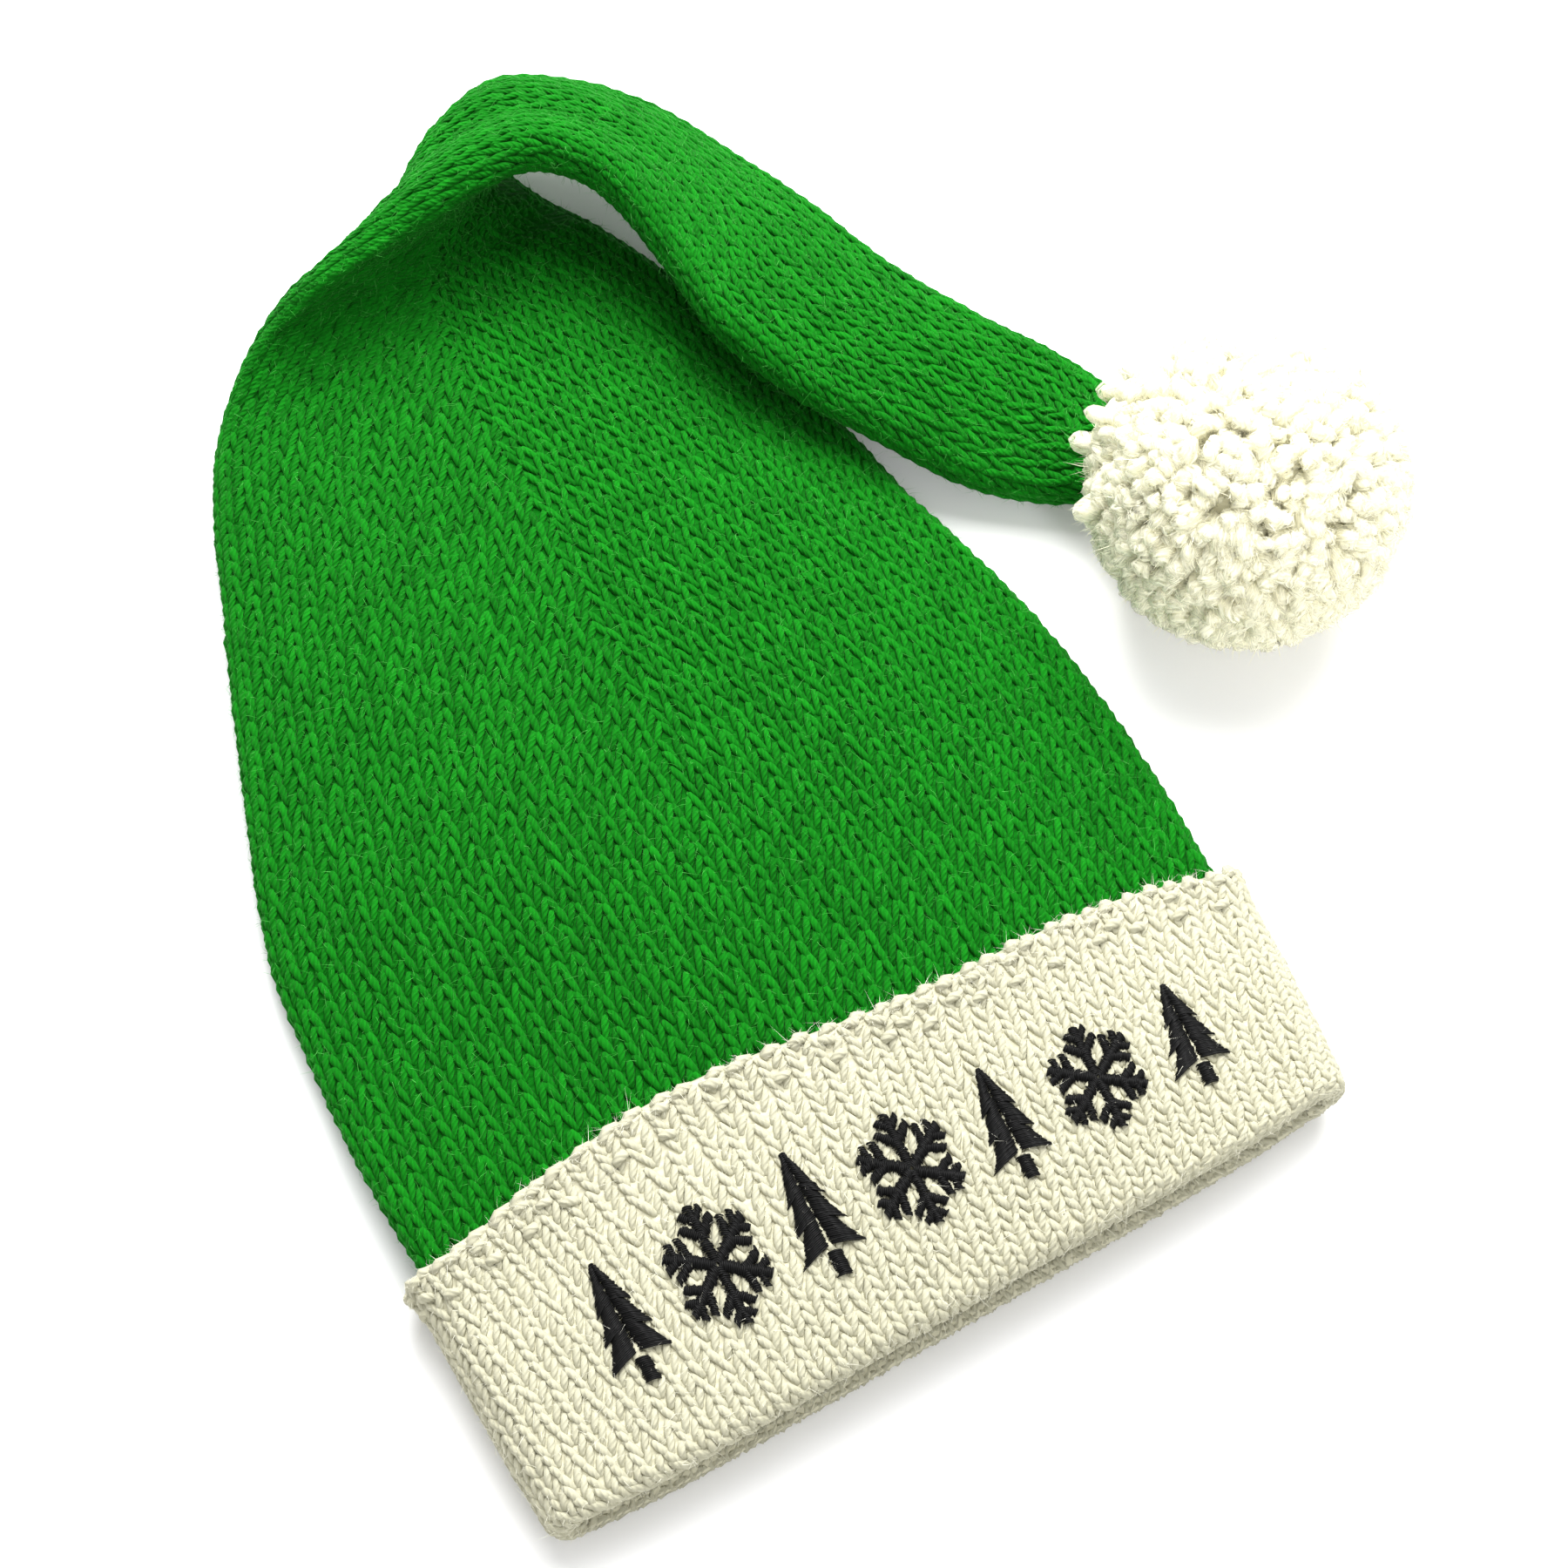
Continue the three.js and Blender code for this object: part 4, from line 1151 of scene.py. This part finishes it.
def hang(name, light, power, at, aim):
    light.energy = power
    lamp = bpy.data.objects.new(name, light)
    lamp.location = Vector(at)
    lamp.rotation_euler = (Vector(aim) - lamp.location).to_track_quat("-Z", "Y").to_euler()
    bpy.context.scene.collection.objects.link(lamp)


def makeStage():
    a, e = math.radians(stage["azimuth"]), math.radians(stage["elevation"])
    target = Vector((stage["target"] + shift) * 0.001)
    back = Vector((math.sin(a) * math.cos(e), -math.cos(a) * math.cos(e), math.sin(e)))
    camera = bpy.data.objects.new("camera", bpy.data.cameras.new("camera"))
    camera.data.lens = stage["lens"]
    camera.data.sensor_width = 36.0
    camera.location = target + back * stage["distance"]
    camera.rotation_euler = (-back).to_track_quat("-Z", "Y").to_euler()
    bpy.context.scene.collection.objects.link(camera)
    bpy.context.scene.camera = camera
    for name in ("key", "fill", "back"):
        light = bpy.data.lights.new(name, "AREA")
        light.size = stage[name]["size"]
        hang(name, light, stage[name]["power"], stage[name]["at"], target)
    spot = stage["spot"]
    light = bpy.data.lights.new("spot", "SPOT")
    light.spot_size = math.radians(spot["angle"])
    light.spot_blend = 1.0
    light.shadow_soft_size = spot["soft"]
    hang("spot", light, spot["power"], spot["at"], spot["aim"])
    world = bpy.data.worlds.new("studio")
    world.use_nodes = True
    sky = world.node_tree.nodes["Background"]
    sky.inputs["Color"].default_value = (1, 1, 1, 1)
    sky.inputs["Strength"].default_value = stage["world"]
    bpy.context.scene.world = world
    bpy.context.scene.view_settings.view_transform = "Standard"
    finish = Finish("pale_floor")
    place = finish.add("ShaderNodeTexCoord", None, None, "Object")
    colour = finish.mix(finish.noise(place, 3.0), *stage["floor"])
    paper = finish.surface({"Base Color": colour, "Roughness": 0.9, "Specular IOR Level": 0.2,
                            "Emission Color": colour, "Emission Strength": stage["floorGlow"]})
    mesh = bpy.data.meshes.new("floor")
    reach = stage["floorReach"]
    corners = [(-reach, -reach, 0), (reach, -reach, 0), (reach, reach, 0), (-reach, reach, 0)]
    mesh.from_pydata(corners, [], [(0, 1, 2, 3)])
    mesh.materials.append(paper)
    floor = bpy.data.objects.new("floor", mesh)
    bpy.context.scene.collection.objects.link(floor)
    print("stage set")


makeStage()
